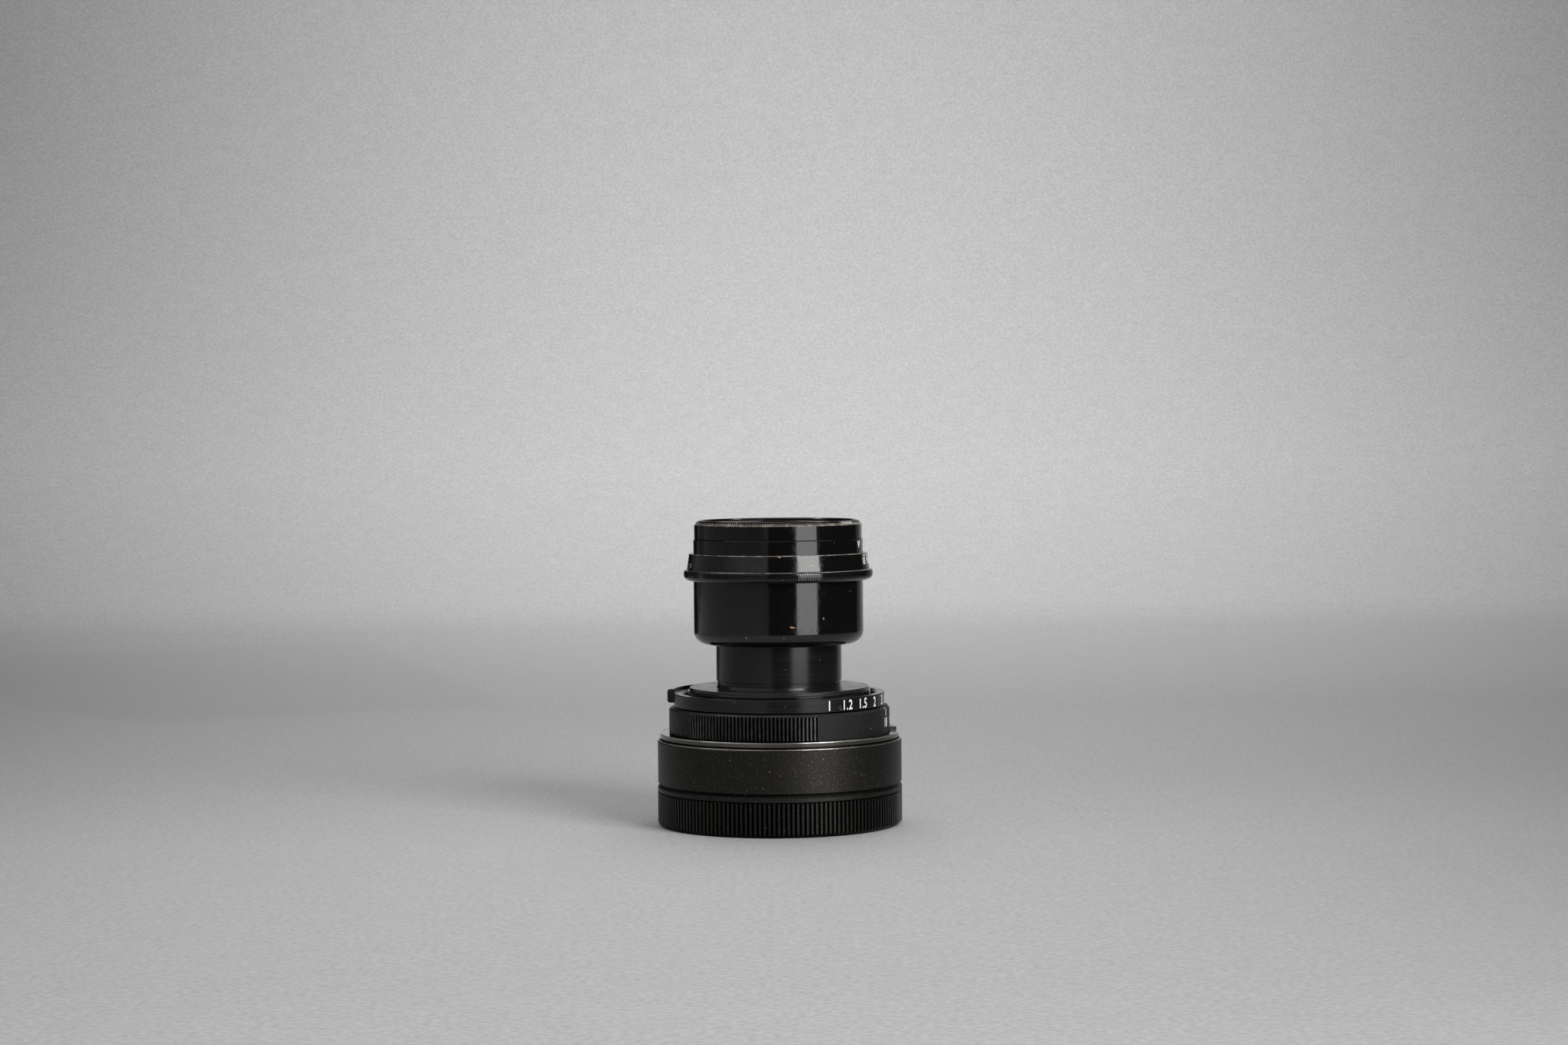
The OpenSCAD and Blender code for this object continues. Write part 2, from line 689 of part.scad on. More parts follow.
module neck_tube() {
  color("#151515") rotate_extrude() polygon([[neck_bore, z_neck], [neck_r - fine, z_neck],
    [neck_r, z_neck + fine], [neck_r, z_head], [neck_thread, z_head],
    [neck_thread, z_head - neck_spigot], [neck_bore, z_head - neck_spigot]]);
}

// ---- Lens head: barrel, cells and glass ----

module lens_barrel() {
  color("#0c0c0c") difference() {
    rotate_extrude() difference() {
      union() {
        translate([0, z_head + head_round])
          square([head_r, z_front - rim_line - z_head - head_round]);
        polygon([[0, z_front - rim_line - lap], [head_r, z_front - rim_line - lap],
          [head_r, z_front - rim_line], [head_r - rim_line, z_front], [0, z_front]]);
        translate([0, z_head]) square([head_r - head_round, head_round + lap]);
        translate([head_r - head_round, z_head + head_round]) circle(head_round);
        translate([0, z_head - neck_spigot]) square([neck_thread, neck_spigot + lap]);
      }
      translate([0, z_head - neck_spigot - 1]) square([cell_r + 0.1, neck_spigot + head_floor + 2]);
      translate([0, z_floor]) square([ledge_r, z_front]);
      translate([0, z_ledge]) square([head_bore, z_front]);
    }
    arc_block(head_bore - 1, head_r + 1, z_screw - screw_r - run, z_screw + screw_r + run,
      ring_screw_at - aperture_turn - 2.5, aperture_turn + 5);
  }
}

module rear_cell() {
  low = z_rear_edge - 1.3;
  top = z_pair_edge + 0.7;
  rim = cell_r + 2.5;
  color("#2b2b2b") rotate_extrude() polygon([[rear_glass_r, low], [cell_r, low],
    [cell_r, z_floor], [rim, z_floor], [rim, z_floor + 1], [cell_r, z_floor + 1], [cell_r, top],
    [pair_glass_r, top], [pair_glass_r, z_pair_seat], [pair_clear + 0.1, z_pair_seat],
    [pair_clear + 0.1, z_rear_seat], [rear_glass_r, z_rear_seat]]);
}

module rear_element() {
  color("#9fb4c8") glass(pair_clear, rear_glass_r, v_rear, rear_rad[0], v_rear_back, rear_rad[1]);
}

module rear_retaining_ring() {
  color("#202020") mirror([0, 0, 1])
    slotted_ring(pair_clear + 0.1, rear_glass_r, -z_rear_edge, 0.65 - z_rear_edge, 1);
}

module pair_rear_element() {
  color("#a9b8c4")
    glass(pair_clear, pair_glass_r, v_pair_joint, pair_rear_rad[0], v_pair_back, pair_rear_rad[1]);
}

module pair_front_element() {
  color("#b4bec6")
    glass(pair_clear, pair_glass_r, v_pair, pair_front_rad[0], v_pair_joint, pair_front_rad[1]);
}

module pair_retaining_ring() {
  color("#202020") slotted_ring(pair_clear, pair_glass_r, z_pair_edge, z_pair_edge + 0.5, 1);
}

// V-shaped notches across the bevel, leaning to the right
module rim_knurl() {
  notch_len = rim_bevel;
  for (i = [0 : rim_notches - 1]) rotate([0, 0, (i + 0.5) * 360 / rim_notches])
    translate([rim_r - rim_bevel * 0.53, 0, z_rim - rim_bevel * 0.47]) rotate([0, 45, 0])
      rotate([0, 0, notch_lean]) rotate([45, 0, 0])
        cube([notch_len, notch_w, notch_w], center = true);
}

module front_cell() {
  seat = edge_z(v_front_back, front_rad[1], front_clear, -1);
  edge = edge_z(v_front, front_rad[0], front_clear, 1);
  mid = edge_z(v_second, second_rad[0], second_clear, 1);
  low = z_third_edge - 0.5;
  color("#0e0e0e") difference() {
    rotate_extrude() polygon([[third_clear + 0.05, low], [third_glass_r + 1.8, low],
      [cell_skirt, low + 4], [cell_skirt, z_front - cell_thread], [head_bore, z_front - cell_thread],
      [head_bore, z_front], [rim_r - rim_line, z_front], [rim_r, z_front + rim_line],
      [rim_r, z_rim - rim_bevel],
      [rim_r - rim_bevel, z_rim], [rim_bore + 0.3, z_rim], [rim_bore, z_rim - 0.3],
      [rim_bore, v_front + 0.2], [front_glass_r + 0.5, v_front - 0.5],
      [front_glass_r + 0.5, edge], [front_glass_r, edge], [front_glass_r, seat],
      [second_glass_r + 0.6, seat], [second_glass_r + 0.6, mid], [second_glass_r, mid],
      [second_glass_r, z_second_edge], [third_glass_r, z_second_edge],
      [third_glass_r, z_third_edge], [third_clear + 0.05, z_third_edge]]);
    rim_knurl();
  }
}

module third_element() {
  color("#b4bec6")
    glass(third_clear, third_glass_r, v_third, third_rad[0], v_third_back, third_rad[1]);
}

module second_element() {
  color("#a9b8c4")
    glass(second_clear, second_glass_r, v_second, second_rad[0], v_second_back, second_rad[1]);
}

module second_retaining_ring() {
  edge = edge_z(v_second, second_rad[0], second_clear, 1);
  color("#202020") slotted_ring(second_clear + 0.05, second_glass_r + 0.6, edge, edge + 0.7, 1.2);
}

module front_element() {
  color("#a5a0b8")
    glass(front_clear, front_glass_r, v_front, front_rad[0], v_front_back, front_rad[1]);
}

module front_retaining_ring() {
  edge = edge_z(v_front, front_rad[0], front_clear, 1);
  color("#6d5630") slotted_ring(front_clear + 0.05, front_glass_r + 0.5, edge, edge + 0.8, 1.2);
}

// ---- Aperture ring and iris ----

// The knurled bead is crossed with a fine toothed outline, and the cone above stays smooth
module aperture_ring() {
  r_in = head_r + run;
  r_bead = head_r + bead_out;
  z_bead = z_ring + bead_h;
  round_low = bead_h / 2;
  round_top = bead_h * 0.3;
  r_top = head_r + ring_wall;
  color("#0f0f0f") difference() {
    union() {
      rotate_extrude() polygon([[r_in, z_ring + lap], [r_top + ring_flare, z_ring + lap],
        [r_top + ring_flare, z_bead], [r_top, z_ring_top - fine], [r_top - fine, z_ring_top],
        [r_in, z_ring_top]]);
      intersection() {
        rotate_extrude() intersection() {
          translate([r_in, z_ring - 1]) square([bead_out * 2, bead_h + 2]);
          union() {
            translate([r_bead - round_low, z_ring + round_low]) circle(round_low);
            translate([r_bead - round_top, z_bead - round_top]) circle(round_top);
            translate([r_in - lap, z_ring]) square([r_bead - round_low - r_in + lap, bead_h]);
            translate([r_in, z_ring + round_low]) square([r_bead - r_in, round_low - round_top]);
          }
        }
        translate([0, 0, z_ring - 1]) linear_extrude(bead_h + 2)
          ribbed_outline(r_bead, bead_rib_depth, bead_ribs);
      }
    }
    radial(ring_screw_at, z_screw) cylinder(r = screw_r + screw_play, h = 30);
    radial(ring_screw_at, z_screw) translate([0, 0, ring_screw_seat])
      cylinder(r = ring_screw_r + screw_play, h = 30);
  }
}

module aperture_screw() {
  color("#5b5246") radial(ring_screw_at, z_screw) slotted_screw(ring_screw_seat,
    ring_screw_seat - cam_sleeve_in, ring_screw_r, ring_wall + 0.35, screw_r);
}

// One curved slot for a blade's drive pin, worked out from the blade's own motion
module cam_slot() {
  steps = 24;
  turns = [for (i = [0 : steps]) blade_turn * i / steps];
  polygon(concat([for (b = turns) cam_path(b) + cam_normal(b) * slot_half],
    [for (i = [steps : -1 : 0]) cam_path(turns[i]) - cam_normal(turns[i]) * slot_half]));
  for (b = [0, blade_turn]) translate(cam_path(b)) circle(slot_half);
}

module iris_cam_ring() {
  color("#b39a5c") difference() {
    union() {
      ring(iris_open_r + 2.1, cam_sleeve_out, z_cam, z_cam_top);
      ring(cam_sleeve_in, cam_sleeve_out, z_cam + lap, z_sleeve_top);
    }
    for (i = [0 : blades - 1]) rotate([0, 0, iris_phase + i * 360 / blades])
      translate([0, 0, z_cam - 1]) linear_extrude(cam_t + 2) cam_slot();
    radial(ring_screw_at, z_screw) cylinder(r = screw_r, h = 30);
  }
}

module iris_base_plate() {
  color("#33312c") difference() {
    ring(iris_open_r - run, head_bore, z_ledge, z_base_top);
    for (i = [0 : blades - 1]) rotate([0, 0, iris_phase + i * 360 / blades])
      translate([pivot_r, 0, z_ledge - 1]) cylinder(r = pivot_pin_r + 0.04, h = base_t + 2);
  }
}

module iris_spacer_ring() {
  color("#33312c") ring(pivot_r + 1, head_bore, z_base_top, z_cam - run);
}

module iris_retaining_ring() {
  color("#33312c")
    slotted_ring(cam_sleeve_in - 0.35, head_bore, z_sleeve_top + 0.1, z_front - cell_thread, 1.2);
}

module flat_bar(a, b, w) {
  d = b - a;
  translate([a.x, a.y, 0]) rotate([0, 0, atan2(d.y, d.x)]) translate([0, -w / 2, 0])
    cube([norm(d), w, blade_t]);
}

// A thin sickle with a heel that carries the pivot pin below and the drive pin above
module iris_blade(level) {
  z = z_blades + (level - 1) * blade_pitch;
  ear = 0.7;
  heel = [blade_mid, 0];
  color("#3c3a38") rotate([0, 0, iris_phase + (level - 1) * 360 / blades])
    translate([pivot_r, 0, 0]) rotate([0, 0, blade_turn]) translate([-pivot_r, 0, 0]) union() {
      arc_block(iris_open_r, iris_open_r + blade_w, z, z + blade_t, 0, blade_arc);
      for (a = [0, blade_arc]) rotate([0, 0, a]) translate([blade_mid, 0, z])
        rotate([0, 0, 45]) cylinder(r = blade_w / 2 - 0.03, h = blade_t);
      for (p = [pivot, drive_open]) translate([p.x, p.y, z]) cylinder(r = ear, h = blade_t);
      translate([0, 0, z]) {
        flat_bar(heel, pivot, 1.8 * ear);
        flat_bar(pivot, drive_open, 1.5 * ear);
        flat_bar(polar(blade_mid, drive_step), drive_open, 1.8 * ear);
      }
      translate([pivot_r, 0, z_ledge + 0.2])
        cylinder(r = pivot_pin_r, h = z + blade_t / 2 - z_ledge - 0.2);
      translate([drive_open.x, drive_open.y, z + blade_t / 2])
        cylinder(r = drive_pin_r, h = z_cam_top - fine - z - blade_t / 2);
    }
}

rear_cap();
mount_adapter();
mount_flange();
flange_screws();
index_block();
depth_scale_ring();
guide_key();
guide_key_screw();
focus_ring();
helicoid_sleeve();
focus_tab();
focus_tab_screws();
focus_set_screws();
sleeve_lock_screw();
inner_barrel();
rangefinder_cam();
seat_disc();
neck_foot();
neck_tube();
lens_barrel();
rear_cell();
rear_element();
rear_retaining_ring();
pair_rear_element();
pair_front_element();
pair_retaining_ring();
iris_base_plate();
iris_spacer_ring();
iris_retaining_ring();
front_cell();
third_element();
second_element();
second_retaining_ring();
front_element();
front_retaining_ring();
aperture_ring();
aperture_screw();
iris_cam_ring();
iris_blade(1);  // iris_blade_01
iris_blade(2);  // iris_blade_02
iris_blade(3);  // iris_blade_03
iris_blade(4);  // iris_blade_04
iris_blade(5);  // iris_blade_05
iris_blade(6);  // iris_blade_06
iris_blade(7);  // iris_blade_07
iris_blade(8);  // iris_blade_08
iris_blade(9);  // iris_blade_09
iris_blade(10);  // iris_blade_10
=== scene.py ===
import json
import math
import random

import bmesh
import bpy
from bpy.props import FloatProperty, FloatVectorProperty, IntProperty, PointerProperty, StringProperty
from mathutils import Matrix, Vector
from mathutils.bvhtree import BVHTree


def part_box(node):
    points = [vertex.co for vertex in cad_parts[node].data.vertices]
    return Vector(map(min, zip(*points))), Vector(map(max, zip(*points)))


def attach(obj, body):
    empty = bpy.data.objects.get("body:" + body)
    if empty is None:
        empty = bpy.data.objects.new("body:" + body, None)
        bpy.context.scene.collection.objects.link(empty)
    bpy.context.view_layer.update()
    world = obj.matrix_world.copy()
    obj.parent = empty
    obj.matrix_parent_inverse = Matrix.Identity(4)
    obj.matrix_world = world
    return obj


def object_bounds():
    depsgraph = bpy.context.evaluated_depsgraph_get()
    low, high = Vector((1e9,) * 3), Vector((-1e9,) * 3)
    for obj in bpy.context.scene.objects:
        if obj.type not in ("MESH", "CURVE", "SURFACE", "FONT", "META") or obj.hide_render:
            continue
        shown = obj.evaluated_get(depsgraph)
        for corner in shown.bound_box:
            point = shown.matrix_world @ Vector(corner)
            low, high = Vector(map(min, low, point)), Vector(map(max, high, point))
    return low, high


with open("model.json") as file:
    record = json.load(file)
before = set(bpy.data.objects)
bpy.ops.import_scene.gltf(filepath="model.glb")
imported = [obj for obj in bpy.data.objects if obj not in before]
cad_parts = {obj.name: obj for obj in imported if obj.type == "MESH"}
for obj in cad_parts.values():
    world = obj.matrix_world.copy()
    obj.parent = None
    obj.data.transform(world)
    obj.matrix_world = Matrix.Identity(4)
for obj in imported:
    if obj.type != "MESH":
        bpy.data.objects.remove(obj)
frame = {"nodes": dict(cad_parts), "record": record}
CAD_BOX = [list(corner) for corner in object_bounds()]
NODES = frame["nodes"]

bl_info = {
    "name": "Prime camera lens",
    "version": (1, 0, 0),
    "blender": (4, 5, 0),
    "location": "View3D > Sidebar > Lens",
    "description": "Dresses the packed lens: finishes, scales, thread, wear and a small studio",
    "category": "Object",
}

MM = 0.001
INDEX = 98.3  # direction of the index and of the endless sign, from the camera side, in degrees
PANEL_HALF = 32.9  # the depth scale's smooth panel in the CAD reaches this far from the index
IMAGE = (1568, 1045)  # width and height that the image points are counted in
LONG_SIDE = max(IMAGE)

# Points read from the photo, in its frame scaled to a long side of 1568. None: not given.
IMAGE_POINTS = {
    "object_left": (659.7, None),
    "object_right": (902.9, None),
    "object_top": (None, 518.3),
    "object_bottom": (None, 836.1),
    "barrel_left": (693.6, None),
    "neck_right": (842.0, None),
    "finger_tab": (670.8, 695.8),
    "figure_1": (830.9, 706.7),
    "figure_1.5": (863.4, 703.1),
    "lock_screw": (868.7, 690.8),
    "depth_line": (885.8, 710.4),
    "stop_pointer": (858.7, 544.4),
    "stop_18": (865.5, 560.3),
    "stop_screw": (692.6, 565.4),
    "chip_ring_edge": (779.3, 557.2),
    "chip_ring": (811.9, 565.6),
    "chip_bead": (803.0, 577.4),
    "chip_barrel": (792.2, 627.8),
    "chip_barrel_foot": (746.3, 638.3),
    "chip_barrel_right": (823.6, 618.9),
}

# ---------------------------------------------------------------------------
# Settings


class LensStudio(bpy.types.PropertyGroup):
    camera_at: FloatVectorProperty(
        name="Camera", description="Place of the camera", subtype="TRANSLATION", unit="LENGTH",
        default=(0.0, -0.65656, 0.08461))
    camera_pitch: FloatProperty(
        name="Pitch", description="How far the camera looks down", subtype="ANGLE",
        default=math.radians(1.7264))
    camera_yaw: FloatProperty(
        name="Yaw", description="How far the camera looks towards +X", subtype="ANGLE",
        default=math.radians(0.1168))
    camera_roll: FloatProperty(
        name="Roll", description="How far the camera leans to its right", subtype="ANGLE",
        default=math.radians(0.485))
    focal_length: FloatProperty(
        name="Focal length", description="Focal length on a 36 mm wide sensor, in mm",
        default=70.09, min=20, max=200)
    paper: StringProperty(
        name="Paper", description="Colour of the seamless paper, as sRGB hex", default="#DEDEDE")
    key_angle: FloatProperty(
        name="Key angle", description="Direction of the soft box, from the camera side to the right",
        subtype="ANGLE", default=math.radians(38.5))
    key_distance: FloatProperty(
        name="Key distance", description="Distance of the soft box from the lens", unit="LENGTH",
        default=0.45)
    key_size: FloatVectorProperty(
        name="Key size", description="Width and height of the soft box", unit="LENGTH", size=2,
        default=(0.23, 0.46))
    key_brightness: FloatVectorProperty(
        name="Key brightness", size=3,
        description="Brightness of the soft box's lower, middle and upper part, 1 is white",
        default=(3.4, 8.0, 12.0))
    top_size: FloatVectorProperty(
        name="Top size", description="Width and depth of the overhead soft box", unit="LENGTH",
        size=2, default=(1.1, 0.7))
    top_at: FloatVectorProperty(
        name="Top place", description="Place of the overhead soft box", unit="LENGTH",
        default=(0.0, 0.58, 0.95))
    top_brightness: FloatProperty(
        name="Top brightness", description="Brightness of the overhead soft box's face", default=2.6)
    room: FloatProperty(
        name="Room", description="Brightness of the pale room all round", default=0.48)


class LensFinish(bpy.types.PropertyGroup):
    lacquer: StringProperty(
        name="Lacquer", description="Colour of the glossy black lacquer", default="#0B0A0A")
    satin: StringProperty(
        name="Satin black", description="Colour of the satin black anodising", default="#0B0B0B")
    blasted: StringProperty(
        name="Blasted black", description="Colour of the bead-blasted anodising", default="#2E2D2B")
    flange: StringProperty(
        name="Flange", description="Colour of the polished dark flange", default="#646260")
    disc: StringProperty(
        name="Disc", description="Colour of the satin disc", default="#1A1817")
    brass: StringProperty(name="Brass", description="Colour of bare brass", default="#C9A560")
    inner: StringProperty(
        name="Inner black", description="Colour of the matte parts inside", default="#0C0C0C")
    bronze: StringProperty(
        name="Bronze", description="Colour of the darkened brass ring", default="#6A4E2B")
    steel: StringProperty(name="Steel", description="Colour of the screws", default="#77787B")
    blade: StringProperty(
        name="Blades", description="Colour of the blackened iris blades", default="#2C2D30")
    glass: StringProperty(
        name="Glass", description="Tint of the coated glass", default="#F4F2FA")
    chip: StringProperty(
        name="Chips", description="Colour of the brass that shows in the chips", default="#AB8768")
    dust_count: IntProperty(
        name="Dust", description="Number of dust specks on the lens", default=120, min=0, max=600)


class LensScales(bpy.types.PropertyGroup):
    paint: StringProperty(
        name="Paint", description="Colour of the filled figures and lines", default="#E9E7E1")
    figure_height: FloatProperty(
        name="Figure height", description="Height of the distance figures", unit="LENGTH",
        default=2.1 * MM)
    stop_height: FloatProperty(
        name="Stop height", description="Height of the stop figures", unit="LENGTH",
        default=1.6 * MM)
    depth_height: FloatProperty(
        name="Depth height", description="Height of the depth figures", unit="LENGTH",
        default=2.0 * MM)
    squeeze: FloatProperty(
        name="Squeeze", description="Width of the figures against the plain font", default=0.74,
        min=0.3, max=1.2)
    line_width: FloatProperty(
        name="Line width", description="Width of the scale lines", unit="LENGTH",
        default=0.22 * MM)
    proud: FloatProperty(
        name="Paint height", description="How far the paint stands over the metal", unit="LENGTH",
        default=0.012 * MM)


def studio():
    """Settings of the camera, the lamps and the paper."""
    return bpy.context.scene.lens_studio


def finish():
    """Settings of the finishes."""
    return bpy.context.scene.lens_finish


def scales():
    """Settings of the painted marks."""
    return bpy.context.scene.lens_scales


# ---------------------------------------------------------------------------
# Camera, image points and surfaces


def camera_turn():
    """Rotation of the camera: aimed level along +Y, then turned, tilted down and leant over."""
    s = studio()
    return (Matrix.Rotation(-s.camera_yaw, 3, "Z")
            @ Matrix.Rotation(math.pi / 2 - s.camera_pitch, 3, "X")
            @ Matrix.Rotation(-s.camera_roll, 3, "Z"))


def camera_ray(x, y):
    """Start and direction of the ray through an image point."""
    cam = bpy.context.scene.camera
    d = cam.data
    w, h = IMAGE
    ray = Vector((x - w / 2 + d.shift_x * LONG_SIDE, h / 2 - y + d.shift_y * LONG_SIDE,
                  -LONG_SIDE * d.lens / d.sensor_width))
    m = cam.matrix_world
    return m.translation.copy(), (m.to_3x3() @ ray).normalized()


def image_point(place):
    """Where a point in space shows in the image."""
    cam = bpy.context.scene.camera
    d = cam.data
    p = cam.matrix_world.inverted() @ Vector(place)
    k = LONG_SIDE * d.lens / d.sensor_width / -p.z
    return (IMAGE[0] / 2 + p.x * k - d.shift_x * LONG_SIDE,
            IMAGE[1] / 2 - p.y * k + d.shift_y * LONG_SIDE)


def surface_of(*names):
    """BVH tree of the named CAD nodes as they stand."""
    verts, faces = [], []
    for name in names:
        mesh = NODES[name].data
        base = len(verts)
        verts += [v.co.copy() for v in mesh.vertices]
        faces += [[base + i for i in p.vertices] for p in mesh.polygons]
    return BVHTree.FromPolygons(verts, faces)


SEARCH_FROM = 0.55  # metres from the camera at which the search along a ray starts
SEARCH_STEP = 0.5 * MM
SEARCH_STEPS = 400


def place(point, tree):
    """Place on a surface that an image point looks at, or the place nearest its ray."""
    start, ray = camera_ray(*point)
    hit = tree.ray_cast(start, ray)[0]
    if hit is not None:
        return hit
    tries = [tree.find_nearest(start + ray * (SEARCH_FROM + SEARCH_STEP * step))
             for step in range(SEARCH_STEPS)]
    return min(tries, key=lambda found: found[3])[0]  # 3 is the gap


OUTSIDE = 0.05  # metres from the axis, where a ray towards it starts outside every ring


def towards_axis(tree, angle, z):
    """Where a level ray that comes in at an angle meets a surface, and the normal there."""
    out = Vector((math.cos(angle), math.sin(angle), 0))
    return tree.ray_cast(out * OUTSIDE + Vector((0, 0, z)), -out)[:2]


def from_side(tree, angle, z):
    """Place on a surface that carries a mark at this angle and height."""
    hit, _ = towards_axis(tree, angle, z)
    if hit is None:
        raise RuntimeError(f"nothing to carry a mark at {math.degrees(angle):.1f} degrees, z {z:.4f}")
    return hit


# ---------------------------------------------------------------------------
# Meshes


def linked(name, data):
    """Object for a mesh, a lamp, a camera or a text, put in the scene."""
    holder = bpy.data.objects.new(name, data)
    bpy.context.scene.collection.objects.link(holder)
    return holder


def mesh_object(name, bm, made, smooth=False):
    """Object in the scene whose mesh comes from a bmesh, which it frees."""
    mesh = bpy.data.meshes.new(name)
    bm.to_mesh(mesh)
    bm.free()
    for polygon in mesh.polygons:
        polygon.use_smooth = smooth
    mesh.materials.append(made)
    return linked(name, mesh)


def new_object(name, bm, made, body, smooth=False):
    """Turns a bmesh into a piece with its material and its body."""
    piece = mesh_object(name, bm, made, smooth)
    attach(piece, body)


FIGURE_OFFSET = 0.012  # makes the strokes bolder than the font's own, in text heights
FIGURE_SPACING = 1.12  # sets the figures this many times as far apart


def flat_figure(text, height, squeeze):
    """Flat bmesh of a figure, centred, with the given height. It comes from the built-in font."""
    curve = bpy.data.curves.new("figure", "FONT")
    curve.body = text
    curve.offset = FIGURE_OFFSET
    curve.resolution_u = 4
    curve.space_character = FIGURE_SPACING
    holder = linked("figure", curve)
    bpy.context.view_layer.update()
    bm = bmesh.new()
    bm.from_mesh(holder.to_mesh())
    holder.to_mesh_clear()
    bpy.data.objects.remove(holder)
    bpy.data.curves.remove(curve)
    xs = [v.co.x for v in bm.verts]
    ys = [v.co.y for v in bm.verts]
    scale = height / (max(ys) - min(ys))
    mid = Vector(((max(xs) + min(xs)) / 2, (max(ys) + min(ys)) / 2, 0))
    for v in bm.verts:
        v.co = (v.co - mid) * scale
        v.co.x *= squeeze
        v.co.z = 0
    return bm


def flat_shape(outline):
    """Flat bmesh of one outline of (x, y) points."""
    bm = bmesh.new()
    bm.faces.new([bm.verts.new((x, y, 0)) for x, y in outline])
    return bm


def endless_sign(height, weight):
    """Flat bmesh of the sign for an endless distance, as a ribbon along a figure of eight."""
    steps = 48
    half = height * 0.95

    def path(t):
        k = 1 / (1 + math.sin(t) ** 2)
        return Vector((half * math.cos(t) * k, half * 1.25 * math.sin(t) * math.cos(t) * k, 0))

    bm = bmesh.new()
    rows = []
    for i in range(steps):
        t = 2 * math.pi * i / steps
        ahead = path(t + 0.01) - path(t)
        side = Vector((-ahead.y, ahead.x, 0)).normalized() * weight / 2
        rows.append((bm.verts.new(path(t) + side), bm.verts.new(path(t) - side)))
    for a, b in zip(rows, rows[1:] + rows[:1]):
        bm.faces.new((a[0], a[1], b[1], b[0]))
    return bm


def merge(target, part, dx=0.0):
    """Adds a bmesh to another one, moved aside, and frees it."""
    mesh = bpy.data.meshes.new("part")
    part.to_mesh(mesh)
    part.free()
    mesh.transform(Matrix.Translation((dx, 0, 0)))
    target.from_mesh(mesh)
    bpy.data.meshes.remove(mesh)


SUNK = 0.03 * MM  # a skin reaches this far into the surface that carries it


def wrap(bm, tree, angle, z, proud, strip=0.25 * MM):
    """Lays a flat bmesh on a round surface as a thin skin, with x running round it."""
    for way in (Vector((1, 0, 0)), Vector((0, 1, 0))):
        along = [way.dot(v.co) for v in bm.verts]
        at = min(along) + strip
        while at < max(along):
            geom = bm.verts[:] + bm.edges[:] + bm.faces[:]
            bmesh.ops.bisect_plane(bm, geom=geom, plane_co=way * at, plane_no=way)
            at += strip
    made = bmesh.ops.extrude_face_region(bm, geom=bm.faces[:])
    for v in (g for g in made["geom"] if isinstance(g, bmesh.types.BMVert)):
        v.co.z = 1  # marks the outer side until the skin is laid down
    middle = from_side(tree, angle, z)
    radius = math.hypot(middle.x, middle.y)
    for v in bm.verts:
        a = angle + v.co.x / radius
        hit = from_side(tree, a, z + v.co.y)
        out = Vector((math.cos(a), math.sin(a), 0))
        v.co = hit + out * (proud if v.co.z > 0.5 else -SUNK)
    bmesh.ops.recalc_face_normals(bm, faces=bm.faces[:])
    return bm


def join_rows(bm, rows, whole):
    """Walls between rows of one closed outline, with end faces unless it goes all the way round."""
    if not whole:
        bm.faces.new(rows[0])
        bm.faces.new(rows[-1])
    for a, b in zip(rows, rows[1:] + rows[:1] if whole else rows[1:]):
        for k in range(len(a)):
            after = (k + 1) % len(a)
            bm.faces.new((a[k], b[k], b[after], a[after]))
    bmesh.ops.recalc_face_normals(bm, faces=bm.faces[:])


def lathe(profile, steps=360, start=0.0, sweep=2 * math.pi):
    """A closed outline of (radius, height) points in mm, turned about Z; a part turn has ends."""
    bm = bmesh.new()
    whole = sweep == 2 * math.pi
    rows = []
    for i in range(steps if whole else steps + 1):
        a = start + sweep * i / steps
        rows.append([bm.verts.new((r * MM * math.cos(a), r * MM * math.sin(a), z * MM))
                     for r, z in profile])
    join_rows(bm, rows, whole)
    return bm


def angle_of(point):
    """Direction of a point from the axis, in radians from +X."""
    return math.atan2(point.y, point.x)


# ---------------------------------------------------------------------------
# Materials: patterns with sizes in mm, and the finishes made of them


def colour(text):
    """sRGB hex as linear RGBA."""
    parts = [int(text[i:i + 2], 16) / 255 for i in (1, 3, 5)]
    return [p / 12.92 if p <= 0.04045 else ((p + 0.055) / 1.055) ** 2.4 for p in parts] + [1.0]


def add(tree, kind, sockets=(), **settings):
    """Adds a node. Its inputs, in order or by name, take a value, a hex colour or a link."""
    made = tree.nodes.new(kind)
    for key, value in settings.items():
        setattr(made, key, value)
    for key, value in sockets.items() if isinstance(sockets, dict) else enumerate(sockets):
        if isinstance(value, bpy.types.NodeSocket):
            tree.links.new(value, made.inputs[key])
        else:
            made.inputs[key].default_value = colour(value) if isinstance(value, str) else value
    return made


def radius_height(tree):
    """Distance from the lens's axis and height over its foot, in mm."""
    at = add(tree, "ShaderNodeTexCoord").outputs["Object"]
    mm = add(tree, "ShaderNodeVectorMath", {0: at, "Scale": 1 / MM}, operation="SCALE")
    xyz = add(tree, "ShaderNodeSeparateXYZ", [mm.outputs[0]])
    flat = add(tree, "ShaderNodeCombineXYZ", [xyz.outputs[0], xyz.outputs[1]])
    radius = add(tree, "ShaderNodeVectorMath", [flat.outputs[0]], operation="LENGTH")
    return radius.outputs["Value"], xyz.outputs[2]


def rings(tree, pitch_mm, low=0.0, high=1.0, least=0.0, most=1.0):
    """Lathe lines: noise that changes only with radius and height, spread from least to most."""
    at = add(tree, "ShaderNodeCombineXYZ", radius_height(tree))
    noise = add(tree, "ShaderNodeTexNoise", {
        "Vector": at.outputs[0], "Scale": 1 / pitch_mm, "Detail": 3.0, "Roughness": 0.6},
        noise_dimensions="2D")
    spread = add(tree, "ShaderNodeMapRange", [noise.outputs["Fac"], low, high, least, most])
    return spread.outputs[0]


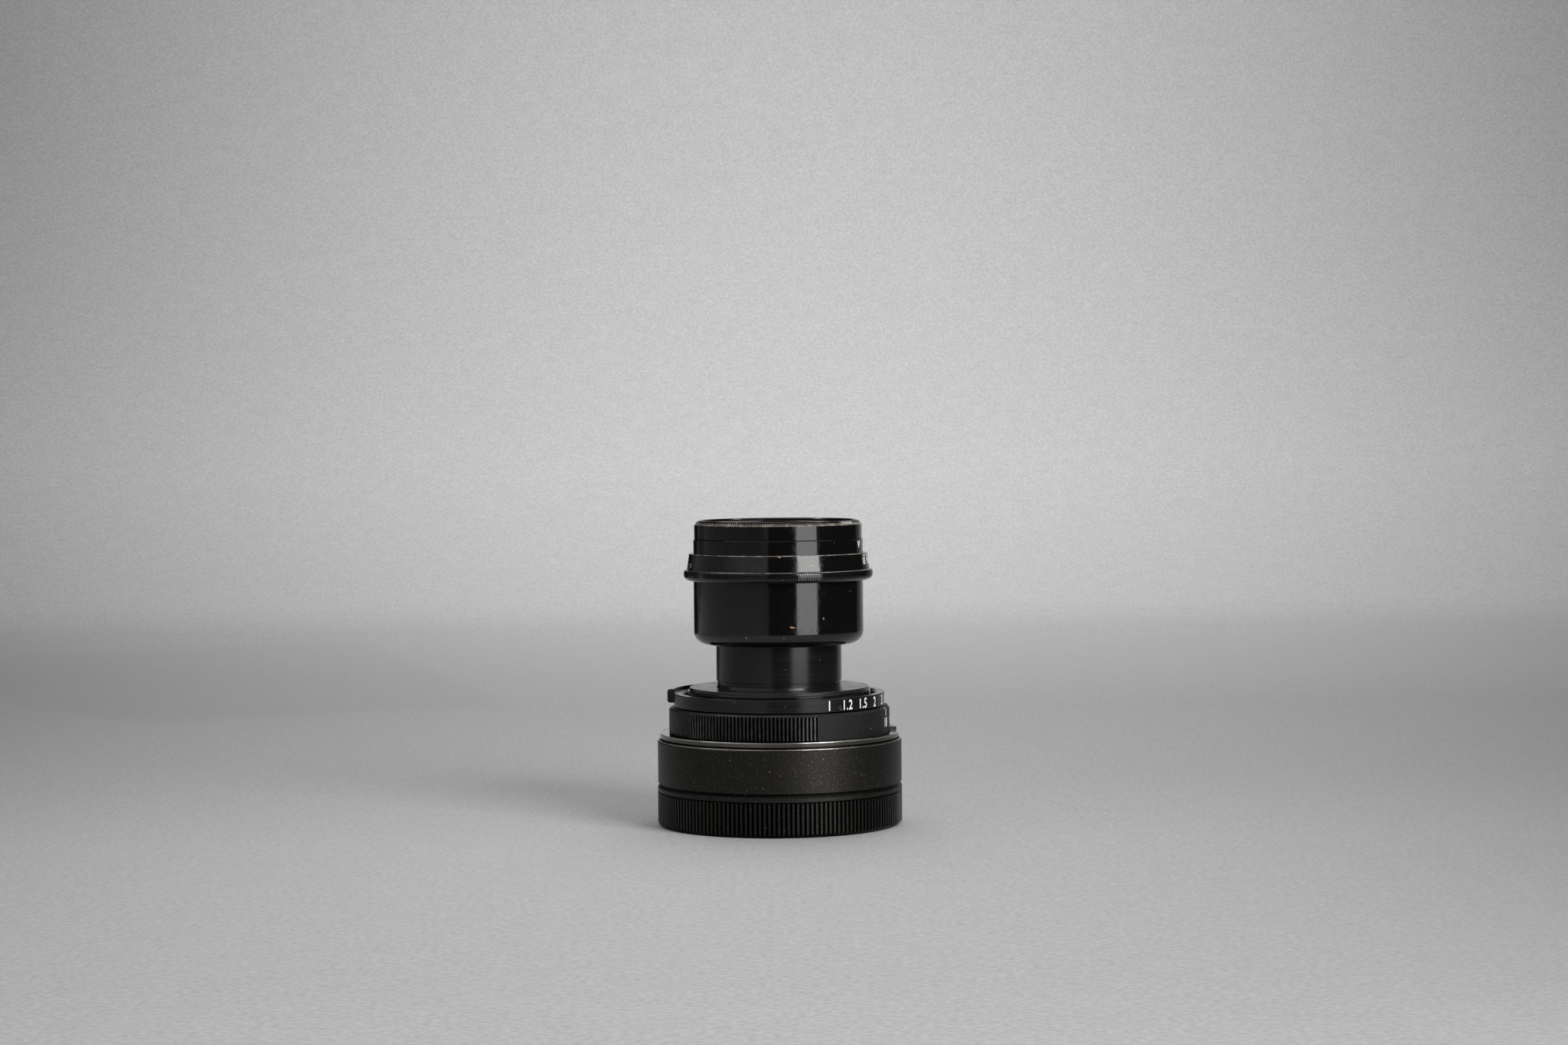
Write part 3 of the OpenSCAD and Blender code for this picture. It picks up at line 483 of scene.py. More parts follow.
def grain(tree, size_mm, detail=2.0, low=0.0, high=1.0, least=0.0, most=1.0):
    """Even noise with lumps about as wide as the given size, spread from least to most."""
    noise = add(tree, "ShaderNodeTexNoise", {
        "Vector": add(tree, "ShaderNodeTexCoord").outputs["Object"],
        "Scale": 1 / (size_mm * MM), "Detail": detail})
    spread = add(tree, "ShaderNodeMapRange", [noise.outputs["Fac"], low, high, least, most])
    return spread.outputs[0]


def crests(tree, crest_mm, depth_mm, top_mm):
    """1 on the ribs of a ribbed band and over it, 0 down in its gaps, which get painted shade since
    little light gets there.
    """
    radius, height = radius_height(tree)
    rib = add(tree, "ShaderNodeMapRange", [
        radius, crest_mm - 0.8 * depth_mm, crest_mm - 0.15 * depth_mm])
    over = add(tree, "ShaderNodeMapRange", [height, top_mm, top_mm + 0.05])
    return add(tree, "ShaderNodeMath", [rib.outputs[0], over.outputs[0]],
               operation="MAXIMUM").outputs[0]


def worn_edges_and_highlights(tree, edges):
    """1 along edges where the finish is rubbed off, and on the front rim's bevel also a painted
    highlight of its knurl ridges: (radius, height, width, reach up) in mm.
    """
    soft = 0.04  # the rubbed band fades out over this many mm
    radius, height = radius_height(tree)
    both = add(tree, "ShaderNodeMath", [radius, height], operation="ADD").outputs[0]
    share = 0.0
    for edge_r, edge_z, wide, reach in edges:
        outer, low, top = edge_r + edge_z - wide, edge_z - wide, edge_z + reach
        band = 1.0
        for ramp in ((both, outer - soft, outer, 0.0, 1.0), (height, low - soft, low, 0.0, 1.0),
                     (height, top, top + soft, 1.0, 0.0)):
            part = add(tree, "ShaderNodeMapRange", ramp).outputs[0]
            band = add(tree, "ShaderNodeMath", [band, part], operation="MULTIPLY").outputs[0]
        share = add(tree, "ShaderNodeMath", [band, share], operation="MAXIMUM").outputs[0]
    rubbed = grain(tree, 1.4, 4.0, 0.44, 0.6, 0.35, 0.9)
    return add(tree, "ShaderNodeMath", [share, rubbed], operation="MULTIPLY").outputs[0]


def coat(tree, first, second, share, sockets, relief=None, depth_mm=0.0):
    """Ends a material: two colours shared out, the shader's sockets, a relief of real depth."""
    tone = add(tree, "ShaderNodeMix", {0: share, 6: first, 7: second}, data_type="RGBA")
    shader = add(tree, "ShaderNodeBsdfPrincipled", {"Base Color": tone.outputs[2], **sockets})
    if relief is not None:
        bump = add(tree, "ShaderNodeBump", {
            "Height": relief, "Distance": depth_mm * MM, "Strength": 1.0})
        tree.links.new(bump.outputs[0], shader.inputs["Normal"])
    add(tree, "ShaderNodeOutputMaterial", [shader.outputs[0]])


def gloss_lacquer(tree, *edges):
    """Black stove lacquer over brass: deep gloss, faint orange peel, pinholes and rubbed edges; on
    the front rim the rubbed band is also a painted highlight.
    """
    spots = add(tree, "ShaderNodeTexVoronoi", {
        "Vector": add(tree, "ShaderNodeTexCoord").outputs["Object"],
        "Scale": 1 / (2.6 * MM), "Randomness": 1.0})
    pin = add(tree, "ShaderNodeMapRange", [spots.outputs["Distance"], 0.035, 0.05, 1.0, 0.0])
    here_and_there = grain(tree, 9.0, 2.0, 0.58, 0.60)
    hole = add(tree, "ShaderNodeMath", [pin.outputs[0], here_and_there], operation="MULTIPLY")
    black = add(tree, "ShaderNodeMix", {
        0: hole.outputs[0], 6: finish().lacquer, 7: "#5A4636"}, data_type="RGBA")
    # the pale of the rubbed edges is also a painted highlight on the front rim
    bare = add(tree, "ShaderNodeMix", {  # mostly pale with use, brown in places
        0: grain(tree, 0.8, 2.0, 0.6, 0.68), 6: "#8F8982", 7: "#8A6648"}, data_type="RGBA")
    gloss = {"IOR": 1.52, "Roughness": grain(tree, 1.3, 5.0, 0.48, 0.66, 0.08, 0.15)}
    coat(tree, black.outputs[2], bare.outputs[2], worn_edges_and_highlights(tree, edges), gloss,
         grain(tree, 1.6), 0.004)


def satin_black_anodised(tree, *edges):
    """Black anodised aluminium off a fine lathe cut: a soft sheen drawn out in level lines."""
    pitch = 0.22  # a real cut has about 0.1 mm, too fine to show
    black = add(tree, "ShaderNodeMix", {
        0: rings(tree, pitch, 0.3, 0.7), 6: finish().satin, 7: "#121212"}, data_type="RGBA")
    sheen = {"IOR": 1.46, "Roughness": rings(tree, pitch, 0.3, 0.7, 0.15, 0.23)}
    coat(tree, black.outputs[2], "#6A6764", worn_edges_and_highlights(tree, edges), sheen,
         rings(tree, pitch), 0.0004)


def bead_blasted_anodised(tree, *ribs):
    """Black anodised aluminium blasted with fine beads: a broad, warm sheen with a sparkle, and
    painted shade near black in the gaps of any ribs.
    """
    grit = 0.22  # real grains are near 0.1 mm, too fine to show
    glint = grain(tree, 0.24, 0.0, 0.63, 0.84)
    face = add(tree, "ShaderNodeMix", {
        0: glint, 6: finish().blasted, 7: "#55534F"}, data_type="RGBA")
    sheen = {"Metallic": 1.0,  # no milky light of its own beside the sheen
             "Roughness": grain(tree, grit, 2.0, 0.3, 0.7, 0.38, 0.48)}
    # 060606 in the gaps of the ribs is painted shade
    coat(tree, "#060606", face.outputs[2], crests(tree, *ribs) if ribs else 1.0, sheen,
         grain(tree, grit), 0.006)


def satin_black_knurling(tree, *ribs):
    """Satin black anodised grip: a rubbed grey on its ribs and painted shade near black in their
    gaps, matte on the panel at the index.
    """
    toward = math.radians(INDEX - 90)
    spot = add(tree, "ShaderNodeVectorMath", [
        add(tree, "ShaderNodeTexCoord").outputs["Object"],
        (math.cos(toward), math.sin(toward), 0.0)], operation="DOT_PRODUCT")
    edge = ribs[0] * MM * math.cos(math.radians(PANEL_HALF))
    ribbed = add(tree, "ShaderNodeMath", [spot.outputs["Value"], edge],
                 operation="LESS_THAN").outputs[0]
    rubbed = add(tree, "ShaderNodeMix", {
        0: grain(tree, 1.5, 3.0, 0.35, 0.65), 6: "#3A3A3A", 7: "#4C4C4C"}, data_type="RGBA")
    # 050505 in the gaps between the ribs is painted shade
    face = add(tree, "ShaderNodeMix", {
        0: crests(tree, *ribs), 6: "#050505", 7: rubbed.outputs[2]}, data_type="RGBA")
    rough = add(tree, "ShaderNodeMapRange", [ribbed, 0.0, 1.0, 0.7, 0.34]).outputs[0]
    coat(tree, "#0E0E0F", face.outputs[2], ribbed, {"Metallic": ribbed, "Roughness": rough},
         grain(tree, 0.3), 0.002)


def fine_blasted_black_anodising(tree):
    """Fine-blasted black anodising beside the depth scale: matte, paler at a low angle."""
    matte = {"Specular IOR Level": 0.25,  # pits swallow most of the gloss
             "Roughness": grain(tree, 1.2, 3.0, 0.35, 0.65, 0.55, 0.65)}
    coat(tree, "#0E0E0F", "#151516", grain(tree, 1.2, 3.0, 0.35, 0.65), matte,
         grain(tree, 0.3), 0.002)


def black_chromed_brass(tree):
    """Black chromed brass, turned and polished: mirror-like with faint rings."""
    polish = {"Metallic": 1.0, "Roughness": rings(tree, 0.3, 0.3, 0.7, 0.1, 0.18)}
    coat(tree, finish().flange, "#68655F", rings(tree, 0.3, 0.3, 0.7), polish,
         rings(tree, 0.3), 0.001)


def satin_black_enamel(tree):
    """Smooth black enamel on the seat disc: dark from above, bright at a low angle."""
    coat(tree, finish().disc, "#221F1E", grain(tree, 3.0, 4.0),
         {"Roughness": grain(tree, 3.0, 4.0, 0.3, 0.7, 0.2, 0.3)}, grain(tree, 0.5), 0.002)


def turned_metal(tree, bright, dark, rough):
    """Bare turned metal: a clean metal colour with close tool rings and a little tarnish."""
    cut = {"Metallic": 1.0, "Roughness": rings(tree, 0.25, 0.3, 0.7, rough - 0.06, rough + 0.08)}
    coat(tree, bright, dark, grain(tree, 4.0, 4.0, 0.35, 0.7, 0.0, 0.8), cut,
         rings(tree, 0.25), 0.003)


def bare_brass(tree):
    """Turned brass: yellow, browner where it has tarnished."""
    turned_metal(tree, finish().brass, "#8C6F3C", 0.3)


def brown_black_brass(tree):
    """Turned brass in a brown-black, with a dull shine."""
    turned_metal(tree, "#2A2013", "#171109", 0.4)


def darkened_brass(tree):
    """Chemically darkened brass: bronze-coloured, darker in patches."""
    turned_metal(tree, finish().bronze, "#3A2A18", 0.38)


def plain_steel(tree):
    """Turned steel of the screws: neutral grey."""
    turned_metal(tree, finish().steel, "#4C4D50", 0.3)


def polished_edge(tree):
    """Metal rubbed bright along an edge: pale, and it catches each light as a line."""
    turned_metal(tree, "#C6C2BB", "#8F8B86", 0.2)


def matte_optical_black(tree):
    """Matte black optical paint: nearly no reflection, slightly dusty."""
    coat(tree, finish().inner, "#1B1A19", grain(tree, 0.8, 4.0, 0.5, 0.8),
         {"Roughness": grain(tree, 0.8, 4.0, 0.5, 0.8, 0.55, 0.75)}, grain(tree, 0.3), 0.004)


def blackened_spring_steel(tree):
    """Blackened spring steel: dark and dull, with fine marks where the leaves rub."""
    dull = {"Metallic": 1.0, "Roughness": grain(tree, 0.6, 2.0, 0.3, 0.7, 0.32, 0.45)}
    coat(tree, finish().blade, "#4B4C50", rings(tree, 0.5, 0.45, 0.75), dull,
         grain(tree, 0.2), 0.001)


def coated_optical_glass(tree):
    """Optical crown glass with one coating layer: clear, with a violet to amber reflection."""
    coat(tree, finish().glass, "#EDEAF4", grain(tree, 5.0, 3.0, 0.4, 0.8), {
        "Transmission Weight": 1.0, "IOR": 1.58,
        "Thin Film Thickness": 125.0, "Thin Film IOR": 1.38,  # nanometres of the usual fluoride
        "Roughness": grain(tree, 5.0, 3.0, 0.4, 0.8, 0.0, 0.02)})


def white_filled_enamel(tree):
    """White enamel filled into the engraving: flat white, a little worn and grey in places."""
    coat(tree, scales().paint, "#C9C6BE", grain(tree, 0.35, 4.0, 0.55, 0.75),
         {"Roughness": grain(tree, 0.35, 4.0, 0.55, 0.75, 0.4, 0.6)})


def bare_brass_in_chips(tree):
    """Old brass where the lacquer is gone: brown, dull, lighter in the middle."""
    coat(tree, "#4E3A2A", finish().chip, grain(tree, 0.25, 3.0),
         {"Metallic": 0.3, "Roughness": grain(tree, 0.25, 3.0, 0.3, 0.7, 0.35, 0.55)})


def pale_dust(tree):
    """Lint and dust: pale fibre-like grains."""
    coat(tree, "#CDCAC2", "#EFEDE8", grain(tree, 0.1), {"Roughness": 0.9})


def card_stock(tree, tone):
    """Matte card beside the camera, there for what the lens reflects: an even tone."""
    darker = [c * 0.94 for c in colour(tone)[:3]] + [1.0]
    coat(tree, tone, darker, grain(tree, 4.0, 4.0), {"Roughness": 0.95})


# Painted light on the paper: a brightest line and a falloff of light to its sides, set into its
# colour
# From here to there along the paper, its brightest line moves from this x to that x,
PAPER_CENTRE = (-0.2, 0.4, -0.085, 0.025)
PAPER_SIDE = (-0.05, 0.9, 0.29, 0.58)  # and its light falls off over a width from this to that,
PAPER_LEAST = 0.2  # down to this share.
# Painted light and shade: tone of the paper against distance along it from the lens, in metres,
# darker on the floor around and behind the lens and paler up the backdrop
PAPER_PAINTED_LIGHT = ((-0.30, 0.56), (-0.19, 0.52), (-0.12, 0.53), (-0.03, 0.55), (0.09, 0.50),
               (0.28, 0.49), (0.60, 0.625), (0.66, 0.73), (0.85, 0.80), (1.1, 0.76),
               (1.3, 0.73))


def grey_paper_with_painted_light(tree):
    """Grey seamless paper: matte with a faint fibre, and painted light and shade in its tone: darker
    to the sides and on the floor behind the lens, paler up the bend and the backdrop.
    """
    at = add(tree, "ShaderNodeNewGeometry").outputs["Position"]
    xyz = add(tree, "ShaderNodeSeparateXYZ", [at])
    # distance along the paper: forward on the floor, then up the back
    along = add(tree, "ShaderNodeMath", [xyz.outputs[1], xyz.outputs[2]],
                operation="ADD").outputs[0]
    centre, width = [add(tree, "ShaderNodeMapRange", (along,) + span).outputs[0]
                     for span in (PAPER_CENTRE, PAPER_SIDE)]
    # side: the painted falloff of light to the sides of the paper
    side = xyz.outputs[0]
    for kind, value in (("SUBTRACT", centre), ("DIVIDE", width), ("POWER", 2.0),
                        ("MULTIPLY", -1.0), ("EXPONENT", 0.0), ("MAXIMUM", PAPER_LEAST)):
        side = add(tree, "ShaderNodeMath", [side, value], operation=kind).outputs[0]
    first, last = PAPER_PAINTED_LIGHT[0][0], PAPER_PAINTED_LIGHT[-1][0]
    place_on_ramp = add(tree, "ShaderNodeMapRange", [along, first, last])
    ramp = add(tree, "ShaderNodeValToRGB", [place_on_ramp.outputs[0]])
    for i, (where, tone) in enumerate(PAPER_PAINTED_LIGHT):
        spot = (where - first) / (last - first)
        stop = ramp.color_ramp.elements[i] if i < 2 else ramp.color_ramp.elements.new(spot)
        stop.position = spot
        stop.color = (tone, tone, tone, 1)
    # painted light and shade along the paper, then the painted falloff, the fibre and the cloud
    share = ramp.outputs[0]
    fibre = grain(tree, 1.2, 5.0, 0.35, 0.65, 0.91, 1.09)  # real fibres are too fine to show
    cloud = grain(tree, 7.0, 3.0, 0.35, 0.65, 0.985, 1.015)
    for factor in (side, fibre, cloud):
        share = add(tree, "ShaderNodeMath", [share, factor], operation="MULTIPLY").outputs[0]
    coat(tree, "#000000", studio().paper, share,
         {"Roughness": 0.95, "Specular IOR Level": 0.2})


MATERIALS = {}


def material(kind, *values):
    """The one material of a kind, made when it is first asked for."""
    key = (kind.__name__,) + values
    if key not in MATERIALS:
        made = bpy.data.materials.new(kind.__name__)
        made.use_nodes = True
        made.node_tree.nodes.clear()
        kind(made.node_tree, *values)
        MATERIALS[key] = made
    return MATERIALS[key]


def dress(made, *names):
    """Gives a material to the slots of CAD nodes."""
    for name in names:
        node = NODES[name]
        if not node.material_slots:
            node.data.materials.append(made)
        for slot in node.material_slots:
            slot.material = made


# ---------------------------------------------------------------------------
# Operators


class LENS_OT_stage(bpy.types.Operator):
    """Camera, seamless paper, soft boxes and the pale room"""
    bl_idname = "lens.stage"
    bl_label = "Stage"

    KEY_PARTS = (0.2, 0.2, 0.6)  # shares of the soft box's height, from the bottom up
    KEY_FOOT = 0.004  # metres from the floor up to the soft box
    CARDS = (  # name, tone, first and last direction from the camera side in degrees,
        # near and far edge from the axis and height in metres
        ("front_flag", "#050505", -13, 21, 0.22, 0.62, 0.8),
        ("right_flag", "#050505", 57, 132, 0.30, 0.60, 0.7),
        ("left_flag", "#050505", -164, -142, 0.30, 0.60, 0.7),
        ("left_card", "#ABABAB", -135, -19, 0.36, 1.30, 0.3))

    def execute(self, context):
        s = studio()
        scene = context.scene
        camera = bpy.data.cameras.new("camera")
        camera.lens, camera.sensor_width, camera.sensor_fit = s.focal_length, 36.0, "AUTO"
        camera.clip_start, camera.clip_end = 0.01, 20
        holder = linked("camera", camera)
        holder.matrix_world = Matrix.Translation(s.camera_at) @ camera_turn().to_4x4()
        scene.camera = holder
        context.view_layer.update()
        self.paper()
        low = self.KEY_FOOT
        for part, (share, brightness) in enumerate(zip(self.KEY_PARTS, s.key_brightness)):
            tall = s.key_size[1] * share
            at = Vector((s.key_distance * math.sin(s.key_angle),
                         -s.key_distance * math.cos(s.key_angle), low + tall / 2))
            self.soft_box(f"key_box_{part + 1}", at, (0, 0, at.z), (s.key_size[0], tall),
                          brightness)
            low += tall
        self.soft_box("top_box", Vector(s.top_at), (0, 0.2, 0), s.top_size, s.top_brightness)
        for sizes in self.CARDS:
            self.card(*sizes)
        world = bpy.data.worlds.new("pale_room")
        scene.world = world
        world.use_nodes = True
        world.node_tree.nodes["Background"].inputs[0].default_value = (1, 1, 1, 1)
        world.node_tree.nodes["Background"].inputs[1].default_value = s.room
        scene.view_settings.view_transform = "Standard"
        return {"FINISHED"}

    def soft_box(self, name, at, target, size, brightness):
        """Rectangular lamp whose face has the given brightness."""
        lamp = bpy.data.lights.new(name, "AREA")
        lamp.shape, lamp.size, lamp.size_y = "RECTANGLE", size[0], size[1]
        lamp.energy = brightness * math.pi * size[0] * size[1]
        holder = linked(name, lamp)
        aim = (at - Vector(target)).to_track_quat("Z", "Y")
        holder.matrix_world = Matrix.Translation(at) @ aim.to_matrix().to_4x4()
        holder.visible_camera = False

    def card(self, name, tone, first, last, near, far, height):
        """Card that lies on the floor and bends up. Only the lens's reflections show it."""
        steps = 12
        bm = bmesh.new()
        rows = []
        for i in range(steps + 1):
            a = math.radians(first + (last - first) * i / steps)
            x, y = math.sin(a), -math.cos(a)
            rows.append([bm.verts.new((d * x, d * y, z))
                         for d, z in ((near, 0.001), (far, 0.001), (far, height))])
        for a, b in zip(rows, rows[1:]):
            for k in range(2):
                bm.faces.new((a[k], b[k], b[k + 1], a[k + 1]))
        card = mesh_object(name, bm, material(card_stock, tone))
        card.visible_camera = False
        card.visible_shadow = False
        card.visible_diffuse = False

    def paper(self):
        """Floor that bends up into the backdrop behind the lens."""
        near, bend_at, bend, top, half = -2.0, 0.55, 0.45, 2.2, 2.4  # metres
        across = 16
        profile = [(near + (bend_at - near) * i / 24, 0.0) for i in range(24)]
        profile += [(bend_at + bend * math.sin(math.radians(a)),
                     bend - bend * math.cos(math.radians(a))) for a in range(0, 91, 5)]
        profile += [(bend_at + bend, bend + (top - bend) * i / 6) for i in range(1, 7)]
        bm = bmesh.new()
        rows = [[bm.verts.new((-half + 2 * half * k / across, y, z)) for k in range(across + 1)]
                for y, z in profile]
        for a, b in zip(rows, rows[1:]):
            for k in range(across):
                bm.faces.new((a[k], a[k + 1], b[k + 1], b[k]))
        sweep = mesh_object("paper_sweep", bm, material(grey_paper_with_painted_light), smooth=True)


class LENS_OT_base(bpy.types.Operator):
    """Finish of the rear cap and the mount adapter"""
    bl_idname = "lens.base"
    bl_label = "Base"

    def execute(self, context):
        dress(material(bead_blasted_anodised), "mount_adapter")
        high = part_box("rear_cap")[1]
        # the gaps of these ribs get painted shade
        ribs = high.x / MM, 0.28, high.z / MM - 1.3  # crest, depth and top in mm
        dress(material(bead_blasted_anodised, *ribs), "rear_cap")
        return {"FINISHED"}


class LENS_OT_mount(bpy.types.Operator):
    """Finish of the flange, the fixed ring and what is fastened to them"""
    bl_idname = "lens.mount"
    bl_label = "Mount"

    def execute(self, context):
        dress(material(black_chromed_brass), "mount_flange")
        dress(material(satin_black_anodised), "index_block")
        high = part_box("depth_scale_ring")[1]
        # the gaps of these ribs get painted shade
        ribs = high.x / MM, 0.22, high.z / MM - 0.5  # crest, depth and top in mm
        dress(material(satin_black_knurling, *ribs), "depth_scale_ring")
        dress(material(bare_brass), "guide_key")
        return {"FINISHED"}


class LENS_OT_focusing(bpy.types.Operator):
    """Finish of the focusing ring, its tab and the helicoid"""
    bl_idname = "lens.focusing"
    bl_label = "Focusing"

    def execute(self, context):
        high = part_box("focus_ring")[1]
        edge = high.x / MM, high.z / MM, 0.1, 1.0  # radius, height, width and reach up in mm
        dress(material(satin_black_anodised, edge), "focus_ring")
        dress(material(satin_black_anodised), "focus_tab", "inner_barrel")
        dress(material(bare_brass), "rangefinder_cam")
        # the sleeve: brown-black brass, darker than bare brass
        dress(material(brown_black_brass), "helicoid_sleeve")
        return {"FINISHED"}


class LENS_OT_neck(bpy.types.Operator):
    """Finish of the seat disc, the foot ring and the neck"""
    bl_idname = "lens.neck"
    bl_label = "Neck"

    def execute(self, context):
        dress(material(satin_black_enamel), "seat_disc")
        dress(material(satin_black_anodised), "neck_foot", "neck_tube")
        return {"FINISHED"}


class LENS_OT_head(bpy.types.Operator):
    """Finish of the lacquered barrel, the front cell and the aperture ring"""
    bl_idname = "lens.head"
    bl_label = "Head"

    EDGES = {  # rubbed edges of each node: radius, height, width and reach up in mm
        "lens_barrel": ((18.275, 61.4, 0.06, 1.0),),
        "aperture_ring": ((19.235, 58.4, 0.14, 1.0), (20.144, 54.789, 0.0, 0.12)),
        # the front rim's pale band reaches up its bevel: wear, and a painted highlight of the knurl
        # ridges
        "front_cell": ((18.075, 64.5, 0.02, 0.5),)}

    def execute(self, context):
        for node, edges in self.EDGES.items():
            dress(material(gloss_lacquer, *edges), node)
        return {"FINISHED"}


class LENS_OT_glass(bpy.types.Operator):
    """Finish of the glass and of the cells and rings that hold it"""
    bl_idname = "lens.glass"
    bl_label = "Glass"

    def execute(self, context):
        dress(material(coated_optical_glass), "front_element", "second_element",
              "third_element", "pair_front_element", "pair_rear_element", "rear_element")
        dress(material(matte_optical_black), "rear_cell", "rear_retaining_ring",
              "pair_retaining_ring", "second_retaining_ring")
        dress(material(darkened_brass), "front_retaining_ring")
        return {"FINISHED"}


class LENS_OT_iris(bpy.types.Operator):
    """Finish of the iris and its rings"""
    bl_idname = "lens.iris"
    bl_label = "Iris"

    def execute(self, context):
        dress(material(blackened_spring_steel),
              *[n for n in NODES if n.startswith("iris_blade_")])
        dress(material(matte_optical_black), "iris_base_plate", "iris_spacer_ring",
              "iris_retaining_ring")
        dress(material(bare_brass), "iris_cam_ring")
        return {"FINISHED"}


class LENS_OT_screws(bpy.types.Operator):
    """Finish of the screws"""
    bl_idname = "lens.screws"
    bl_label = "Screws"

    def execute(self, context):
        dress(material(plain_steel), "flange_screws", "guide_key_screw", "focus_tab_screws",
              "focus_set_screws", "sleeve_lock_screw", "aperture_screw")
        return {"FINISHED"}


class LENS_OT_distance_scale(bpy.types.Operator):
    """Distance figures round the focusing ring"""
    bl_idname = "lens.distance_scale"
    bl_label = "Distance scale"

    SPREAD = 65.74  # degrees of turn for one unit of 1 / distance
    TO_FILM = 0.05  # a distance counts from the film, this many metres behind the lens
    SIGN_HEIGHT = 0.62  # of the endless sign, as a share of the figures' height
    SIGN_WIDTH = 1.5  # of its stroke, in widths of a scale line
    FIGURES = ((1.0, "1"), (1.2, "1.2"), (1.5, "1.5"), (2.0, "2"), (3.0, "3"), (5.0, "5"))

    def execute(self, context):
        s = scales()
        tree = surface_of("focus_ring")
        point = place(IMAGE_POINTS["figure_1.5"], tree)
        shift = math.degrees(angle_of(point)) + 90 - self.turn(1.5)
        white = material(white_filled_enamel)
        for distance, text in self.FIGURES:
            flat = flat_figure(text, s.figure_height, s.squeeze)
            angle = math.radians(self.turn(distance) + shift - 90)
            wrap(flat, tree, angle, point.z, s.proud)
            new_object(f"distance_figure_{text}", flat, white, "focus")
        sign = endless_sign(s.figure_height * self.SIGN_HEIGHT, s.line_width * self.SIGN_WIDTH)
        wrap(sign, tree, math.radians(INDEX + shift - 90), point.z, s.proud)
        new_object("distance_figure_endless", sign, white, "focus")
        return {"FINISHED"}

    def turn(self, distance):
        """Where a distance stands at rest, in degrees from the camera side."""
        return INDEX - self.SPREAD / (distance - self.TO_FILM)


class LENS_OT_depth_scale(bpy.types.Operator):
    """Index, depth lines and depth figures on the fixed ring's smooth panel"""
    bl_idname = "lens.depth_scale"
    bl_label = "Depth scale"

    STOPS = (("4.5", 4.5), ("9", 9.0), ("18", 18.0))
    LINE = 1.7 * MM  # height of a line
    DROP = 2.2 * MM  # from a line's middle down to its figure's middle
    STEP = 0.05 * MM  # a line is cut this fine, so that it follows the bevel over the panel
    CLEAR = 0.05 * MM  # left free between a line and the ring's top
    INDEX_WIDTH = 1.5  # of the index line, in widths of a scale line
    NARROW = 0.9  # the depth figures are this much narrower than the others

    def execute(self, context):
        s = scales()
        tree = surface_of("depth_scale_ring")
        point = place(IMAGE_POINTS["depth_line"], tree)
        point.z = min(point.z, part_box("depth_scale_ring")[1].z - self.LINE / 2 - self.CLEAR)
        index = math.radians(INDEX - 90)
        per_stop = (index - angle_of(point)) / self.STOPS[-1][1]
        white = material(white_filled_enamel)
        self.line("index_line", tree, [index], point.z, s.line_width * self.INDEX_WIDTH, white)
        for text, number in self.STOPS:
            turn = per_stop * number
            both = [index - turn, index + turn]
            self.line(f"depth_line_{text}", tree, both, point.z, s.line_width, white)
            group = bmesh.new()
            for angle in both:
                flat = flat_figure(text, s.depth_height, s.squeeze * self.NARROW)
                merge(group, wrap(flat, tree, angle, point.z - self.DROP, s.proud))
            new_object(f"depth_figure_{text}", group, white, "mount")
        return {"FINISHED"}

    def line(self, name, tree, angles, z, wide, white):
        """Upright lines of one kind, as one piece."""
        tall = self.LINE
        group = bmesh.new()
        for angle in angles:
            flat = flat_shape([(-wide / 2, -tall / 2), (wide / 2, -tall / 2),
                               (wide / 2, tall / 2), (-wide / 2, tall / 2)])
            merge(group, wrap(flat, tree, angle, z, scales().proud, strip=self.STEP))
        new_object(name, group, white, "mount")


class LENS_OT_stop_scale(bpy.types.Operator):
    """Stop figures and dots on the aperture ring, and the pointer on the barrel"""
    bl_idname = "lens.stop_scale"
    bl_label = "Stop scale"

    STOPS = (("18", 0.0), ("12.5", 3.2), ("9", 7.3), ("6.3", 13.5), ("4.5", 21.8),
             ("3.2", 33.5), ("2.3", 49.1), ("2", 57.5))
    LEAST_TURN = 5.5  # a stop closer than this to the last figure has a dot alone, in degrees
    DOT = 0.22 * MM  # radius of a dot
    DROP = 0.5 * MM  # from the ring's top edge down to the dots
    NARROW = 0.85  # a figure of three or more signs is this much narrower
    POINTER = (1.6 * MM, 1.6 * MM)  # width and height
    NOTCH = (0.45, 0.42)  # half-width and height of the notch in the pointer, as shares of it

    def execute(self, context):
        s = scales()
        tree = surface_of("aperture_ring")
        barrel = surface_of("lens_barrel")
        point = place(IMAGE_POINTS["stop_18"], tree)
        mark = place(IMAGE_POINTS["stop_pointer"], barrel)
        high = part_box("aperture_ring")[1]
        start = angle_of(mark)
        white = material(white_filled_enamel)
        dots = bmesh.new()
        ring = [(self.DOT * math.cos(math.radians(a)), self.DOT * math.sin(math.radians(a)))
                for a in range(0, 360, 30)]
        radius = math.hypot(point.x, point.y)
        last = None
        for text, turn in self.STOPS:
            x = math.radians(turn) * radius
            merge(dots, flat_shape(ring), x)
            if last is None or turn - last > self.LEAST_TURN:
                narrow = self.NARROW if len(text) > 2 else 1.0
                flat = flat_figure(text, s.stop_height, s.squeeze * narrow)
                wrap(flat, tree, start + math.radians(turn), point.z, s.proud)
                new_object(f"stop_figure_{text}", flat, white, "aperture")
                last = turn
        wrap(dots, tree, start, high.z - self.DROP, s.proud)
        new_object("stop_dots", dots, white, "aperture")
        half, tall = self.POINTER[0] / 2, self.POINTER[1]
        notch, floor = half * self.NOTCH[0], -tall / 2 + tall * self.NOTCH[1]
        arrow = flat_shape([(0, -tall / 2), (half, tall / 2), (notch, tall / 2), (0, floor),
                            (-notch, tall / 2), (-half, tall / 2)])
        wrap(arrow, barrel, start, mark.z, s.proud)
        new_object("stop_pointer", arrow, white, "head")
        return {"FINISHED"}


